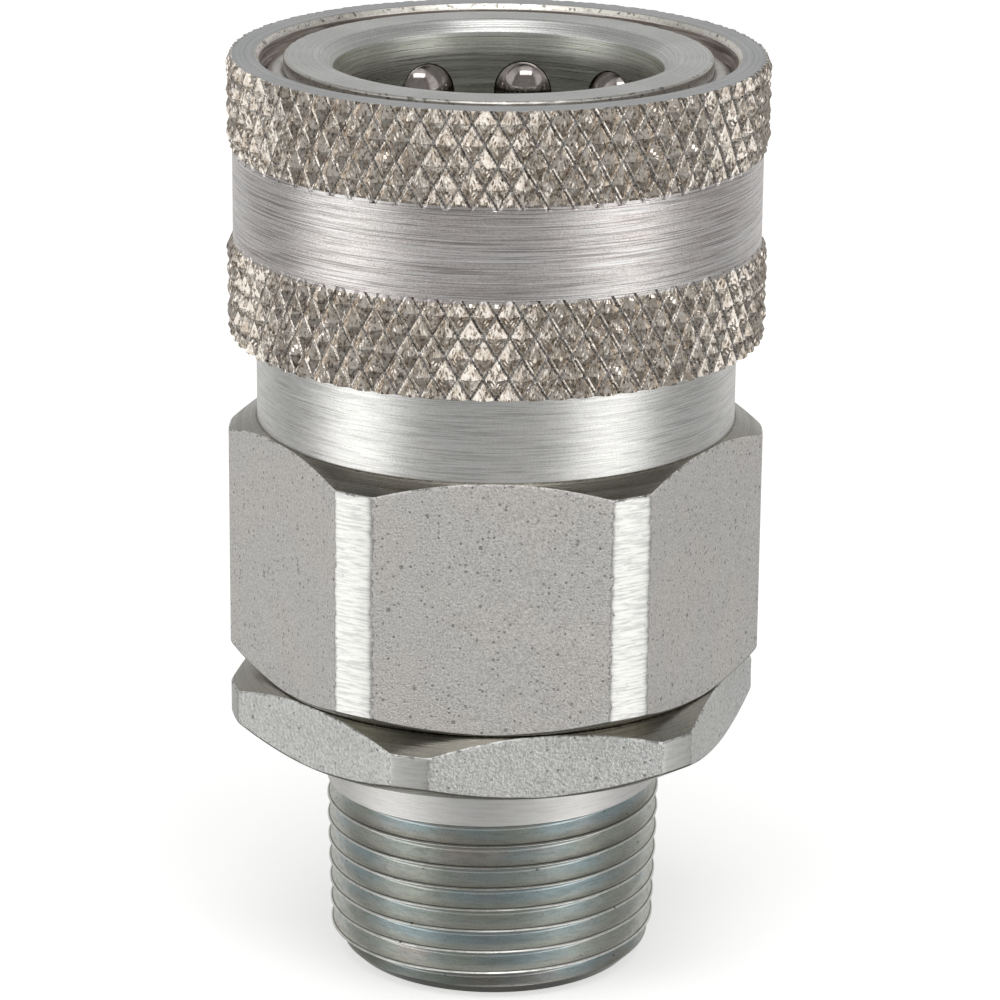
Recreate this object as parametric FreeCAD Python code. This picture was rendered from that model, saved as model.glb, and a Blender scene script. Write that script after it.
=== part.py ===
import FreeCAD, Part
import math
import os

# Quick disconnect coupler, female half: a ball-locked socket with a knurled sliding sleeve, a spring-loaded
# poppet valve inside a hexagonal body, and a hexagonal adapter with a male tapered pipe thread.
# Millimetres. Z is the flow axis: Z = 0 is the end face of the pipe thread and +Z runs to the socket's mouth.
# Angles are measured about Z from the front (-Y) towards +X.

# Pipe thread: 3/4-14 tapered, right hand
THREADS_PER_INCH = 14
PIPE_PITCH = 25.4 / THREADS_PER_INCH
PIPE_TAPER = 1 / 32  # radius gained per length
PIPE_CREST_R = 13.08  # crest radius at the end face
PIPE_THREAD_DEPTH = 0.76 * PIPE_PITCH
PIPE_CREST_FLAT = 0.14
PIPE_ROOT_FLAT = 0.12
PIPE_GROOVE_TOP = 14.5  # where the middle of the groove runs out
PIPE_THREAD_TOP = 15.4
PIPE_FRONT_CREST_Z = 13.19  # height at which a crest crosses the front
PIPE_NOSE_R = 11.55  # end face, inside the lead-in chamfer
PIPE_NOSE_HEIGHT = 1.5
PIPE_SHANK_R = 13.4
FLOW_BORE_R = 9.25
FLOW_FLARE_R = 11.0

# Hexagons, both 1-1/2 inch across flats
ACROSS_FLATS = 38.1
FLAT_R = ACROSS_FLATS / 2
CHAMFER_SLOPE = math.tan(math.radians(30))
ADAPTER_HEX_BOTTOM = 19.4
HEX_JOINT_Z = 24.6  # where the two hexagons meet
ADAPTER_CORNER_R = 21.15
ADAPTER_CORNER_ANGLE = 42.4
BODY_HEX_TOP = 44.9
BODY_CORNER_R = 21.23
BODY_CORNER_ANGLE = 29.5

# Screwed joint between adapter and body
SPIGOT_RELIEF_R = 14.9
SPIGOT_RELIEF_TOP = 26.2
SPIGOT_THREAD_R = 15.8
SPIGOT_THREAD_TOP = 32.0
PILOT_R = 14.55
PILOT_TOP = 36.3
JOINT_CLEARANCE = 0.05
ADAPTER_SEAL_Z = 34.2
ADAPTER_SEAL_GROOVE_R = 13.0
ADAPTER_SEAL_WIRE_R = 0.79
ADAPTER_SEAL_GROOVE_HALF = 1.0

# Body
NECK_R = 18.87
NECK_TOP = 55.5
NOSE_R = 16.64
NOSE_TOP = 73.65
MOUTH_CHAMFER = 0.9
SOCKET_R = 12.8
SOCKET_STEP_Z = 71.8
SOCKET_STEP = 0.2
SOCKET_FLOOR = 57.0
THROAT_R = 9.0
THROAT_BOTTOM = 55.0
CHAMBER_R = 12.6
SEAT_BOTTOM = THROAT_BOTTOM - (CHAMBER_R - THROAT_R)  # the valve seat is a 45 degree cone
GUIDE_SHOULDER_Z = 38.5
SEAL_GROOVE_R = 15.2
SEAL_GROOVE_BOTTOM = 59.9
SEAL_GROOVE_TOP = 64.1

# Locking balls
BALL_COUNT = 10
BALL_R = 25.4 * 7 / 32 / 2
BALL_Z = 68.0
BALL_CENTRE_R = 13.99
BALL_FIRST_ANGLE = 171.1
BALL_CLEARANCE = 0.06

# Sleeve
SLEEVE_BOTTOM = 51.9
SLEEVE_TOP = 73.85
SLEEVE_SKIRT_R = 18.95
SLEEVE_LAND_R = 16.74
SLEEVE_LAND_BOTTOM = 65.6
SLEEVE_LAND_TOP = 67.16
SLEEVE_MOUTH_R = 18.5
CAM_SLOPE = 0.318  # radius gained per length, which moves the balls 0.318 mm for each mm of the sleeve
SLEEVE_BAND_R = 20.64
LOWER_KNURL_R = 21.17
LOWER_KNURL_TOP = 59.2
UPPER_KNURL_R = 21.15
UPPER_KNURL_BOTTOM = 66.7
KNURL_EDGE = 0.35
MOUTH_EDGE = 0.2

# Snap ring that holds the sleeve on
SNAP_RING_Z = 71.8
SNAP_RING_R = 17.15
SNAP_RING_WIRE_R = 0.9
SNAP_RING_GAP_ANGLE = 14.0
SNAP_RING_GAP_AT = 118.0
SNAP_GROOVE_CLEARANCE = 0.03

# Springs, with ground ends
SLEEVE_SPRING_R = 17.85
SLEEVE_SPRING_WIRE_R = 0.7
SLEEVE_SPRING_TURNS = 3.5
VALVE_SPRING_R = 5.6
VALVE_SPRING_WIRE_R = 0.55
VALVE_SPRING_TURNS = 4.6
SPRING_END_GAP = 0.04

# Socket seals
INTERFACE_SEAL_WIRE_R = 1.38
INTERFACE_SEAL_R = 13.76
INTERFACE_SEAL_Z = 61.3
BACKUP_INNER_R = 12.95
BACKUP_OUTER_R = 15.15
BACKUP_BOTTOM = 62.7
BACKUP_TOP = 64.0

# Valve
STEM_R = 2.0
STEM_BOTTOM = 30.5
POPPET_HEAD_BOTTOM = 50.2
POPPET_HEAD_R = 11.8
POPPET_CONE_TOP_R = 7.6
POPPET_BOSS_R = 4.6
POPPET_BOSS_BOTTOM = 48.2
POPPET_NOSE_R = 4.8
POPPET_NOSE_TOP = 60.0
POPPET_NOSE_EDGE = 1.2
SEAT_CLEARANCE = 0.07
POPPET_SEAL_AT_R = 10.2
POPPET_SEAL_WIRE_R = 0.89
POPPET_GROOVE_HALF = 0.95
POPPET_GROOVE_DEPTH = 1.8
GUIDE_RIM_R = 14.5
GUIDE_RIM_INNER_R = 11.0
GUIDE_HUB_R = 3.8
GUIDE_HUB_BOTTOM = 34.4
GUIDE_HUB_TOP = 41.0
GUIDE_BORE_R = 2.05
GUIDE_SPOKES = 3
GUIDE_SPOKE_WIDTH = 2.6

ORIGIN = FreeCAD.Vector(0, 0, 0)
UP = FreeCAD.Vector(0, 0, 1)
FULL_TURN = 360


def at(radius, angle, z):
    """Point at a radius and an angle from the front."""
    turn = math.radians(angle)
    return FreeCAD.Vector(radius * math.sin(turn), -radius * math.cos(turn), z)


def turned(outline):
    """Solid turned about Z from a closed list of (radius, z) points."""
    points = [FreeCAD.Vector(radius, 0, z) for radius, z in outline]
    face = Part.Face(Part.makePolygon(points + points[:1]))
    return face.revolve(ORIGIN, UP, FULL_TURN)


def straight(start, end, as_spline):
    """Straight edge, held as a line or as a spline."""
    if not as_spline:
        return Part.LineSegment(start, end).toShape()
    curve = Part.BSplineCurve()
    curve.buildFromPolesMultsKnots([start, end], [2, 2], [0, 1], False, 1)
    return curve.toShape()


def tube(inner_r, outer_r, bottom, top):
    """Plain ring with a square section."""
    return turned([(inner_r, bottom), (outer_r, bottom), (outer_r, top), (inner_r, top)])


def rod(radius, bottom, top):
    """Plain cylinder on Z."""
    return Part.makeCylinder(radius, top - bottom, FreeCAD.Vector(0, 0, bottom), UP)


def wire_ring(centre_r, wire_r, z):
    """Ring with a round section."""
    return Part.makeTorus(centre_r, wire_r, FreeCAD.Vector(0, 0, z), UP)


def round_edges(solid, size, rings):
    """Round the circular edges at the given (radius, z) places."""
    def wanted(edge):
        curve = edge.Curve
        if not isinstance(curve, Part.Circle):
            return False
        return any(abs(curve.Radius - r) < 1e-3 and abs(curve.Center.z - z) < 1e-3 for r, z in rings)

    return solid.makeFillet(size, [edge for edge in solid.Edges if wanted(edge)])


def chamfered_blank(corner_r, bottom, top):
    """Cylinder with both ends chamfered at 30 degrees; splines keep hyperbolas off the hexagon's flats."""
    chamfer = (corner_r - FLAT_R) * CHAMFER_SLOPE
    outline = [
        (0, bottom), (FLAT_R, bottom), (corner_r, bottom + chamfer),
        (corner_r, top - chamfer), (FLAT_R, top), (0, top),
    ]
    points = [FreeCAD.Vector(radius, 0, z) for radius, z in outline]
    edges = []
    for start, end in zip(points, points[1:] + points[:1]):
        sloping = start.x != end.x and start.z != end.z
        edges.append(straight(start, end, sloping))
    return Part.Face(Part.Wire(edges)).revolve(ORIGIN, UP, FULL_TURN)


def hexagon(corner_r, bottom, top, corner_angle):
    """Hexagonal prism with its corners turned round and both ends chamfered."""
    sharp_r = ACROSS_FLATS / math.sqrt(3)
    corners = [at(sharp_r, corner_angle + 60 * i, bottom) for i in range(6)]
    prism = Part.Face(Part.makePolygon(corners + corners[:1])).extrude(UP * (top - bottom))
    return prism.common(chamfered_blank(corner_r, bottom, top))


def spring(centre_r, wire_r, turns, bottom, top):
    """Compression spring between two faces, with its ends ground flat."""
    low = bottom + wire_r / 2
    high = top - wire_r / 2
    path = Part.makeHelix((high - low) / turns, high - low, centre_r)
    path.translate(UP * low)
    start = FreeCAD.Vector(centre_r, 0, low)
    section = Part.Wire(Part.makeCircle(wire_r, start, FreeCAD.Vector(0, 1, 0)))
    coil = Part.Wire(path.Edges).makePipeShell([section], True, True)
    room = tube(centre_r - 2 * wire_r, centre_r + 2 * wire_r, bottom, top)
    return coil.common(room)


def pipe_thread_groove():
    """Helical V groove of the tapered pipe thread, a little longer than the threaded length."""
    turns_below = 8
    start_z = PIPE_FRONT_CREST_Z - PIPE_PITCH / 4 - turns_below * PIPE_PITCH
    start_r = PIPE_CREST_R + PIPE_TAPER * start_z
    height = PIPE_GROOVE_TOP - start_z
    path = Part.makeHelix(PIPE_PITCH, height, start_r, math.degrees(math.atan(PIPE_TAPER)))
    path.translate(UP * start_z)
    half_mouth = (PIPE_PITCH - PIPE_CREST_FLAT) / 2
    half_root = PIPE_ROOT_FLAT / 2
    proud = 0.08
    wider = half_mouth + proud * (half_mouth - half_root) / PIPE_THREAD_DEPTH
    corners = [
        FreeCAD.Vector(start_r + proud, 0, start_z - wider),
        FreeCAD.Vector(start_r - PIPE_THREAD_DEPTH, 0, start_z - half_root),
        FreeCAD.Vector(start_r - PIPE_THREAD_DEPTH, 0, start_z + half_root),
        FreeCAD.Vector(start_r + proud, 0, start_z + wider),
    ]
    section = Part.makePolygon(corners + corners[:1])
    return Part.Wire(path.Edges).makePipeShell([section], True, True)


def adapter():
    """Male pipe thread, hexagon and the spigot that screws into the body."""
    blank = turned([
        (0, 0), (PIPE_NOSE_R, 0),
        (PIPE_CREST_R + PIPE_TAPER * PIPE_NOSE_HEIGHT, PIPE_NOSE_HEIGHT),
        (PIPE_CREST_R + PIPE_TAPER * PIPE_THREAD_TOP, PIPE_THREAD_TOP),
        (PIPE_SHANK_R, PIPE_THREAD_TOP), (PIPE_SHANK_R, ADAPTER_HEX_BOTTOM), (0, ADAPTER_HEX_BOTTOM),
    ]).cut(pipe_thread_groove())
    spigot = turned([
        (0, HEX_JOINT_Z), (SPIGOT_RELIEF_R, HEX_JOINT_Z), (SPIGOT_RELIEF_R, SPIGOT_RELIEF_TOP),
        (SPIGOT_THREAD_R, SPIGOT_RELIEF_TOP), (SPIGOT_THREAD_R, SPIGOT_THREAD_TOP),
        (PILOT_R, SPIGOT_THREAD_TOP), (PILOT_R, PILOT_TOP), (0, PILOT_TOP),
    ])
    hexagonal = hexagon(ADAPTER_CORNER_R, ADAPTER_HEX_BOTTOM, HEX_JOINT_Z, ADAPTER_CORNER_ANGLE)
    solid = blank.fuse([hexagonal, spigot]).removeSplitter()
    edge = 0.5
    flare_height = FLOW_FLARE_R - FLOW_BORE_R
    passage = turned([
        (0, -1), (FLOW_BORE_R + edge + 1, -1), (FLOW_BORE_R, edge), (FLOW_BORE_R, PILOT_TOP - flare_height),
        (FLOW_FLARE_R + 1, PILOT_TOP + 1), (0, PILOT_TOP + 1),
    ])
    groove = tube(
        ADAPTER_SEAL_GROOVE_R, PILOT_R + 1,
        ADAPTER_SEAL_Z - ADAPTER_SEAL_GROOVE_HALF, ADAPTER_SEAL_Z + ADAPTER_SEAL_GROOVE_HALF,
    )
    return solid.cut(passage).cut(groove)


def adapter_oring():
    """Static seal between the adapter's pilot and the body."""
    return wire_ring(ADAPTER_SEAL_GROOVE_R + ADAPTER_SEAL_WIRE_R + 0.01, ADAPTER_SEAL_WIRE_R, ADAPTER_SEAL_Z)


def ball_seat(angle):
    """Radial hole for one ball, with a lip that keeps the ball from falling into the socket."""
    radius = BALL_R + BALL_CLEARANCE
    centre = at(BALL_CENTRE_R, angle, BALL_Z)
    outward = at(1, angle, 0)
    hole = Part.makeCylinder(radius, NOSE_R - BALL_CENTRE_R + 1, centre, outward)
    return hole.fuse(Part.makeSphere(radius, centre))


def ball_angle(index):
    """Angle of one of the evenly spaced balls."""
    return BALL_FIRST_ANGLE + FULL_TURN / BALL_COUNT * index


def body():
    """Hexagonal body with the neck, the socket nose, the valve seat and the thread for the adapter."""
    edge = 0.3
    outside = turned([
        (0, BODY_HEX_TOP), (NECK_R, BODY_HEX_TOP), (NECK_R, NECK_TOP - edge), (NECK_R - edge, NECK_TOP),
        (NOSE_R, NECK_TOP), (NOSE_R, NOSE_TOP - edge), (NOSE_R - edge, NOSE_TOP), (0, NOSE_TOP),
    ])
    solid = hexagon(BODY_CORNER_R, HEX_JOINT_Z, BODY_HEX_TOP, BODY_CORNER_ANGLE).fuse(outside).removeSplitter()
    thread_r = SPIGOT_THREAD_R + JOINT_CLEARANCE
    pilot_r = PILOT_R + JOINT_CLEARANCE
    thread_end = SPIGOT_THREAD_TOP + 0.3
    socket_top_r = SOCKET_R + MOUTH_CHAMFER
    inside = turned([
        (0, HEX_JOINT_Z - 1), (thread_r + 1.5, HEX_JOINT_Z - 1), (thread_r, HEX_JOINT_Z + 0.5),
        (thread_r, thread_end), (pilot_r, thread_end), (pilot_r, GUIDE_SHOULDER_Z),
        (CHAMBER_R, GUIDE_SHOULDER_Z), (CHAMBER_R, SEAT_BOTTOM), (THROAT_R, THROAT_BOTTOM),
        (THROAT_R, SOCKET_FLOOR), (SOCKET_R - SOCKET_STEP, SOCKET_FLOOR),
        (SOCKET_R - SOCKET_STEP, SOCKET_STEP_Z), (SOCKET_R, SOCKET_STEP_Z),
        (SOCKET_R, NOSE_TOP - MOUTH_CHAMFER), (socket_top_r, NOSE_TOP),
        (socket_top_r, NOSE_TOP + 1), (0, NOSE_TOP + 1),
    ])
    seal_groove = tube(SOCKET_R - 1, SEAL_GROOVE_R, SEAL_GROOVE_BOTTOM, SEAL_GROOVE_TOP)
    snap_groove = wire_ring(SNAP_RING_R, SNAP_RING_WIRE_R + SNAP_GROOVE_CLEARANCE, SNAP_RING_Z)
    solid = solid.cut(inside).cut(seal_groove).cut(snap_groove)
    return solid.cut([ball_seat(ball_angle(i)) for i in range(BALL_COUNT)])


def sleeve():
    """Sliding sleeve: two raised knurl bands outside, spring pocket, locking land and cam cone inside."""
    cone_top = SLEEVE_LAND_TOP + (SLEEVE_MOUTH_R - SLEEVE_LAND_R) / CAM_SLOPE
    solid = turned([
        (SLEEVE_SKIRT_R, SLEEVE_BOTTOM), (LOWER_KNURL_R, SLEEVE_BOTTOM), (LOWER_KNURL_R, LOWER_KNURL_TOP),
        (SLEEVE_BAND_R, LOWER_KNURL_TOP), (SLEEVE_BAND_R, UPPER_KNURL_BOTTOM),
        (UPPER_KNURL_R, UPPER_KNURL_BOTTOM), (UPPER_KNURL_R, SLEEVE_TOP),
        (SLEEVE_MOUTH_R + MOUTH_EDGE, SLEEVE_TOP), (SLEEVE_MOUTH_R, SLEEVE_TOP - MOUTH_EDGE),
        (SLEEVE_MOUTH_R, cone_top), (SLEEVE_LAND_R, SLEEVE_LAND_TOP), (SLEEVE_LAND_R, SLEEVE_LAND_BOTTOM),
        (SLEEVE_SKIRT_R, SLEEVE_LAND_BOTTOM),
    ])
    return round_edges(solid, KNURL_EDGE, [
        (LOWER_KNURL_R, SLEEVE_BOTTOM), (LOWER_KNURL_R, LOWER_KNURL_TOP),
        (UPPER_KNURL_R, UPPER_KNURL_BOTTOM), (UPPER_KNURL_R, SLEEVE_TOP),
    ])


def sleeve_snap_ring():
    """Split round-wire ring in the nose groove, which stops the sleeve's return."""
    ring = Part.makeTorus(
        SNAP_RING_R, SNAP_RING_WIRE_R, ORIGIN, UP, -180, 180, FULL_TURN - SNAP_RING_GAP_ANGLE,
    )
    first_end = SNAP_RING_GAP_AT - 90 + SNAP_RING_GAP_ANGLE / 2
    ring.rotate(ORIGIN, UP, first_end)
    ring.translate(UP * SNAP_RING_Z)
    return ring


def ball(index):
    """One locking ball, held in towards the socket."""
    return Part.makeSphere(BALL_R, at(BALL_CENTRE_R, ball_angle(index), BALL_Z))


def sleeve_spring():
    """Spring that pushes the sleeve up against the snap ring."""
    return spring(
        SLEEVE_SPRING_R, SLEEVE_SPRING_WIRE_R, SLEEVE_SPRING_TURNS,
        NECK_TOP + SPRING_END_GAP, SLEEVE_LAND_BOTTOM - SPRING_END_GAP,
    )


def interface_oring():
    """Seal on the plug's nose."""
    return wire_ring(INTERFACE_SEAL_R, INTERFACE_SEAL_WIRE_R, INTERFACE_SEAL_Z)


def interface_backup_ring():
    """Square ring that backs the seal against pressure."""
    return tube(BACKUP_INNER_R, BACKUP_OUTER_R, BACKUP_BOTTOM, BACKUP_TOP)


def seat_radius(z):
    """Radius of the poppet's 45 degree face, which is parallel to the valve seat."""
    return THROAT_R + THROAT_BOTTOM - z - SEAT_CLEARANCE


def poppet_seal_frame():
    """Middle of the seal groove's mouth on the poppet's face, as (radius, z)."""
    return POPPET_SEAL_AT_R, THROAT_R + THROAT_BOTTOM - POPPET_SEAL_AT_R - SEAT_CLEARANCE


def on_seal_frame(along, deep):
    """Point in the seal groove's section: along the face towards the nose, and deep under it."""
    radius, z = poppet_seal_frame()
    diagonal = math.sqrt(0.5)
    return radius - (along + deep) * diagonal, z + (along - deep) * diagonal


def poppet():
    """Valve poppet: stem, spring boss, conical head with a seal groove, and the nose the plug pushes."""
    widest_z = THROAT_R + THROAT_BOTTOM - SEAT_CLEARANCE - POPPET_HEAD_R
    cone_top = THROAT_R + THROAT_BOTTOM - SEAT_CLEARANCE - POPPET_CONE_TOP_R
    solid = turned([
        (0, STEM_BOTTOM), (STEM_R - 0.4, STEM_BOTTOM), (STEM_R, STEM_BOTTOM + 0.4),
        (STEM_R, POPPET_BOSS_BOTTOM), (POPPET_BOSS_R, POPPET_BOSS_BOTTOM),
        (POPPET_BOSS_R, POPPET_HEAD_BOTTOM), (POPPET_HEAD_R, POPPET_HEAD_BOTTOM),
        (POPPET_HEAD_R, widest_z), (seat_radius(cone_top), cone_top),
        (POPPET_NOSE_R, cone_top + 0.8), (POPPET_NOSE_R, POPPET_NOSE_TOP), (0, POPPET_NOSE_TOP),
    ])
    solid = round_edges(solid, POPPET_NOSE_EDGE, [(POPPET_NOSE_R, POPPET_NOSE_TOP)])
    groove = turned([
        on_seal_frame(-POPPET_GROOVE_HALF, -1), on_seal_frame(POPPET_GROOVE_HALF, -1),
        on_seal_frame(POPPET_GROOVE_HALF, POPPET_GROOVE_DEPTH),
        on_seal_frame(-POPPET_GROOVE_HALF, POPPET_GROOVE_DEPTH),
    ])
    return solid.cut(groove)


def poppet_oring():
    """Seal in the poppet's face, flush with it."""
    centre_r, centre_z = on_seal_frame(0, POPPET_SEAL_WIRE_R)
    return wire_ring(centre_r, POPPET_SEAL_WIRE_R, centre_z)


def valve_spring():
    """Spring between the guide and the poppet's head."""
    return spring(
        VALVE_SPRING_R, VALVE_SPRING_WIRE_R, VALVE_SPRING_TURNS,
        GUIDE_SHOULDER_Z + SPRING_END_GAP, POPPET_HEAD_BOTTOM - SPRING_END_GAP,
    )


def valve_guide():
    """Spider clamped between the adapter and the body, whose hub guides the poppet's stem."""
    rim = tube(GUIDE_RIM_INNER_R, GUIDE_RIM_R, PILOT_TOP, GUIDE_SHOULDER_Z)
    hub = rod(GUIDE_HUB_R, GUIDE_HUB_BOTTOM, GUIDE_HUB_TOP)
    reach = (GUIDE_RIM_INNER_R + GUIDE_RIM_R) / 2
    spoke = Part.makeBox(
        reach, GUIDE_SPOKE_WIDTH, GUIDE_SHOULDER_Z - PILOT_TOP, FreeCAD.Vector(0, -GUIDE_SPOKE_WIDTH / 2, PILOT_TOP),
    )
    spokes = [spoke.rotated(ORIGIN, UP, FULL_TURN / GUIDE_SPOKES * i) for i in range(GUIDE_SPOKES)]
    solid = rim.fuse([hub] + spokes).removeSplitter()
    return solid.cut(rod(GUIDE_BORE_R, GUIDE_HUB_BOTTOM - 1, GUIDE_HUB_TOP + 1))


def export(name, solid):
    """Write one sub-part and print its volume."""
    if not solid.isValid():
        raise ValueError(name + " is not a valid shape")
    print(f"{name:24s} {len(solid.Solids)} solid, {solid.Volume:9.2f} mm3")
    solid.exportStep("parts/" + name + ".step")


os.makedirs("parts", exist_ok=True)
for make in (
    body, adapter, adapter_oring, sleeve, sleeve_spring, sleeve_snap_ring, interface_oring,
    interface_backup_ring, poppet, poppet_oring, valve_spring, valve_guide,
):
    export(make.__name__, make())
for number in range(BALL_COUNT):
    export(f"ball_{number + 1:02d}", ball(number))
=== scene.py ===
import math

import bmesh
import bpy
import numpy as np
from mathutils import Matrix, Vector


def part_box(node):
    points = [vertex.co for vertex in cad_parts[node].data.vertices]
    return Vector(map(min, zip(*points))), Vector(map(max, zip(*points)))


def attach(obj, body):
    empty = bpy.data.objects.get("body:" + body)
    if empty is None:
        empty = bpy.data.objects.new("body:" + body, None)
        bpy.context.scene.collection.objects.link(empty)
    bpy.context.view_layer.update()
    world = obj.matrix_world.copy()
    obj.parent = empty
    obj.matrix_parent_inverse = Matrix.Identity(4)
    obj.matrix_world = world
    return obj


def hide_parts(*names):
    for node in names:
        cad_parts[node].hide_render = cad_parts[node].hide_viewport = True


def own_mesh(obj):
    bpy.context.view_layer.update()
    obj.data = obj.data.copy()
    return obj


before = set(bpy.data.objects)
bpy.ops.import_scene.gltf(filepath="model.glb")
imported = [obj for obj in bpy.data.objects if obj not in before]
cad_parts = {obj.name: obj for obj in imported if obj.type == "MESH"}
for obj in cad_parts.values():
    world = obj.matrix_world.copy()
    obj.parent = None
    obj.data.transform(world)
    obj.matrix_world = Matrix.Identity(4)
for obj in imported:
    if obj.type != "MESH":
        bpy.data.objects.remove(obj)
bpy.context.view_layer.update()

# Looks of the quick disconnect coupler. Meshes are worked out in millimetres and stored in metres.
# Angles are in degrees about Z, from the front (-Y) towards +X. Rings run anticlockwise seen from above.
MM = 0.001
FULL_TURN = 360.0
SEED = 7
TINY = 1e-9


def extent(node):
    """Lowest and highest corner of a CAD node, in millimetres."""
    low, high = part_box(node)
    return low / MM, high / MM


body_low, body_high = extent("body")
sleeve_low, sleeve_high = extent("sleeve")
snap_low, snap_high = extent("sleeve_snap_ring")
ball_low, ball_high = extent("ball_01")

# Hexagons
FLAT_R = 19.1
CHAMFER_START_R = 18.95
CHAMFER_SLOPE = math.tan(math.radians(30))
HEX_EDGE = 0.14
CORNER_BLEND = 0.06
CORNER_LOSS = 0.001  # what the blend takes off the turned corners
CORNER_RAG = 0.035  # depth of the ragged edges of the turned corners
CORNER_RAG_WIDTH = 0.45  # in degrees
CORNER_RAG_SIZE = 0.7
CORNER_PAINT = (0.055, 0.04)  # how far inside the corner radius the smooth finish starts and is full
CREASE_STEPS = (-1.5, -0.8, -0.4, -0.15, 0, 0.15, 0.4, 0.8, 1.5)
HEX_ROW = 0.3
BODY_CORNER_R = 21.14
BODY_CORNER_ANGLE = 29.5
BODY_HEX_TOP = 44.9
BODY_FACE_R = CHAMFER_START_R - 0.6  # of the ring where the body's lower face joins its bore
ADAPTER_CORNER_R = 21.2
ADAPTER_CORNER_ANGLE = 42.4
ADAPTER_HEX_BOTTOM = 19.4
HEX_JOINT_Z = body_low.z

# Body above and inside the hexagon
NECK_R = 18.87
NECK_FOOT_R = NECK_R + 0.04
NECK_TOP = 55.5
NECK_EDGE = 0.3
NOSE_R = 16.64
NOSE_TOP = body_high.z
NOSE_EDGE = 0.14
NICK_REACH = 0.25
NICK_DEPTH = 0.16
NICK_DROP = 0.05
MOUTH_CHAMFER = 0.9
SOCKET_R = 12.8
ENTRY_TAPER = 0.08
SOCKET_WALL_R = 12.6
ENTRY_CONE_Z = 72.1
SOCKET_FLOOR = 57.0
SEAL_GROOVE_R = 15.2
SEAL_GROOVE_BOTTOM = 59.9
SEAL_GROOVE_TOP = 64.1
THROAT_R = 9.0
THROAT_BOTTOM = 55.0
CHAMBER_R = 12.6
SEAT_BOTTOM = THROAT_BOTTOM - (CHAMBER_R - THROAT_R)
GUIDE_SHOULDER_Z = 38.5
PILOT_BORE_R = 14.6
JOINT_BORE_R = 15.85
JOINT_BORE_TOP = 32.3
JOINT_CHAMFER = 0.5
JOINT_CHAMFER_R = JOINT_BORE_R + 1

# Locking balls
BALL_COUNT = 10
BALL_STEP = FULL_TURN / BALL_COUNT
BALL_FIRST_ANGLE = 171.1
BALL_CENTRE_R = 13.99
BALL_Z = (ball_low.z + ball_high.z) / 2
BALL_SEAT_R = (ball_high.z - ball_low.z) / 2 + 0.06
CELL_COLUMNS = 24
CELL_ROWS = 12
INNER_CELL = (64.8, 71.2)
OUTER_CELL = (64.9, 71.0)
CELL_SHARES = (1, 0.6, 0.25, 0.05)  # places of the loops between a cell's outline and its hole

# Adapter
PIPE_PITCH = 25.4 / 14
PIPE_TAPER = 1 / 32
PIPE_CREST_R = 13.08
PIPE_THREAD_DEPTH = 0.78 * PIPE_PITCH
PIPE_CREST_LOW = 0.035
PIPE_CREST_BEVEL = (0.02, 0.1)  # heights above a crest between which its upper edge is bevelled
PIPE_ROOT_FLAT = 0.12
PIPE_FRONT_CREST_Z = 13.19
PIPE_GROOVE_FADE = (14.5, 15.05)
PIPE_THREAD_TOP = 15.9
PIPE_SHANK_R = 13.4
SHANK_STEP = 0.04
SHANK_FACE_R = PIPE_SHANK_R + 1.5  # of the two rings between the shank and the hexagon
ADAPTER_FACE_R = PIPE_SHANK_R + 2
PAINTED_CREST_R = PIPE_SHANK_R + 0.035  # largest radius of the crests' bright lines
PIPE_NOSE_R = 11.55
PIPE_NOSE_HEIGHT = 1.5
THREAD_COLUMNS = 240
ROWS_PER_FLANK = 7
FLOW_BORE_R = 9.25
FLOW_FLARE_R = 11.0
FLOW_EDGE = 0.5
SPIGOT_RELIEF_R = 14.9
SPIGOT_FOOT_R = SPIGOT_RELIEF_R + 0.5  # of the two rings between the spigot and the hexagon
SPIGOT_FACE_R = SPIGOT_RELIEF_R + 1
SPIGOT_RELIEF_TOP = 26.2
SPIGOT_THREAD_R = 15.8
SPIGOT_THREAD_TOP = 32.0
PILOT_R = 14.55
PILOT_TOP = extent("adapter")[1].z
ADAPTER_SEAL_GROOVE_R = 13.0
ADAPTER_SEAL_GROOVE = (33.2, 35.2)

# Sleeve
SLEEVE_BOTTOM = sleeve_low.z
SLEEVE_TOP = sleeve_high.z
SLEEVE_SKIRT_R = 18.95
SLEEVE_LAND_R = 16.74
SLEEVE_LAND_BOTTOM = 65.6
SLEEVE_LAND_TOP = 67.16
SLEEVE_MOUTH_R = 18.5
CAM_SLOPE = 0.318
MOUTH_EDGE = 0.34
BAND_R = 20.64
LOWER_KNURL_R = sleeve_high.x
UPPER_KNURL_R = 21.15
LOWER_KNURL_TOP = 59.2
UPPER_KNURL_BOTTOM = 66.7
DIAMONDS_ROUND = 68
GRID_PER_DIAMOND = 14
HALF_DIAMOND = GRID_PER_DIAMOND // 2
KNURL_LEAN = 59.0
KNURL_COLUMNS = DIAMONDS_ROUND * GRID_PER_DIAMOND
KNURL_ROW = math.tau * LOWER_KNURL_R / KNURL_COLUMNS * math.tan(math.radians(KNURL_LEAN))
KNURL_DEPTH = 0.52
KNURL_DISTANCES = (0, 1, 2, 6, 7)
KNURL_HEIGHTS = (0, 0.07, 0.22, 0.93, 1)
KNURL_BURR = 0.1
KNURL_TILT = 0.07
KNURL_CHIP = 0.008
KNURL_SCRATCH = 0.06
KNURL_RUNOUT = 0.5
KNURL_ROOT_R = BAND_R + 0.05
KNURL_TICK = 0.3  # how far the grooves run out onto the plain band
KNURL_GAP = 0.06  # between the end of a knurled wall and the plain band's grid
RIM_R = 20.5
SKIRT_EDGE_R = 20.6
PLAIN_COLUMNS = 288
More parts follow.
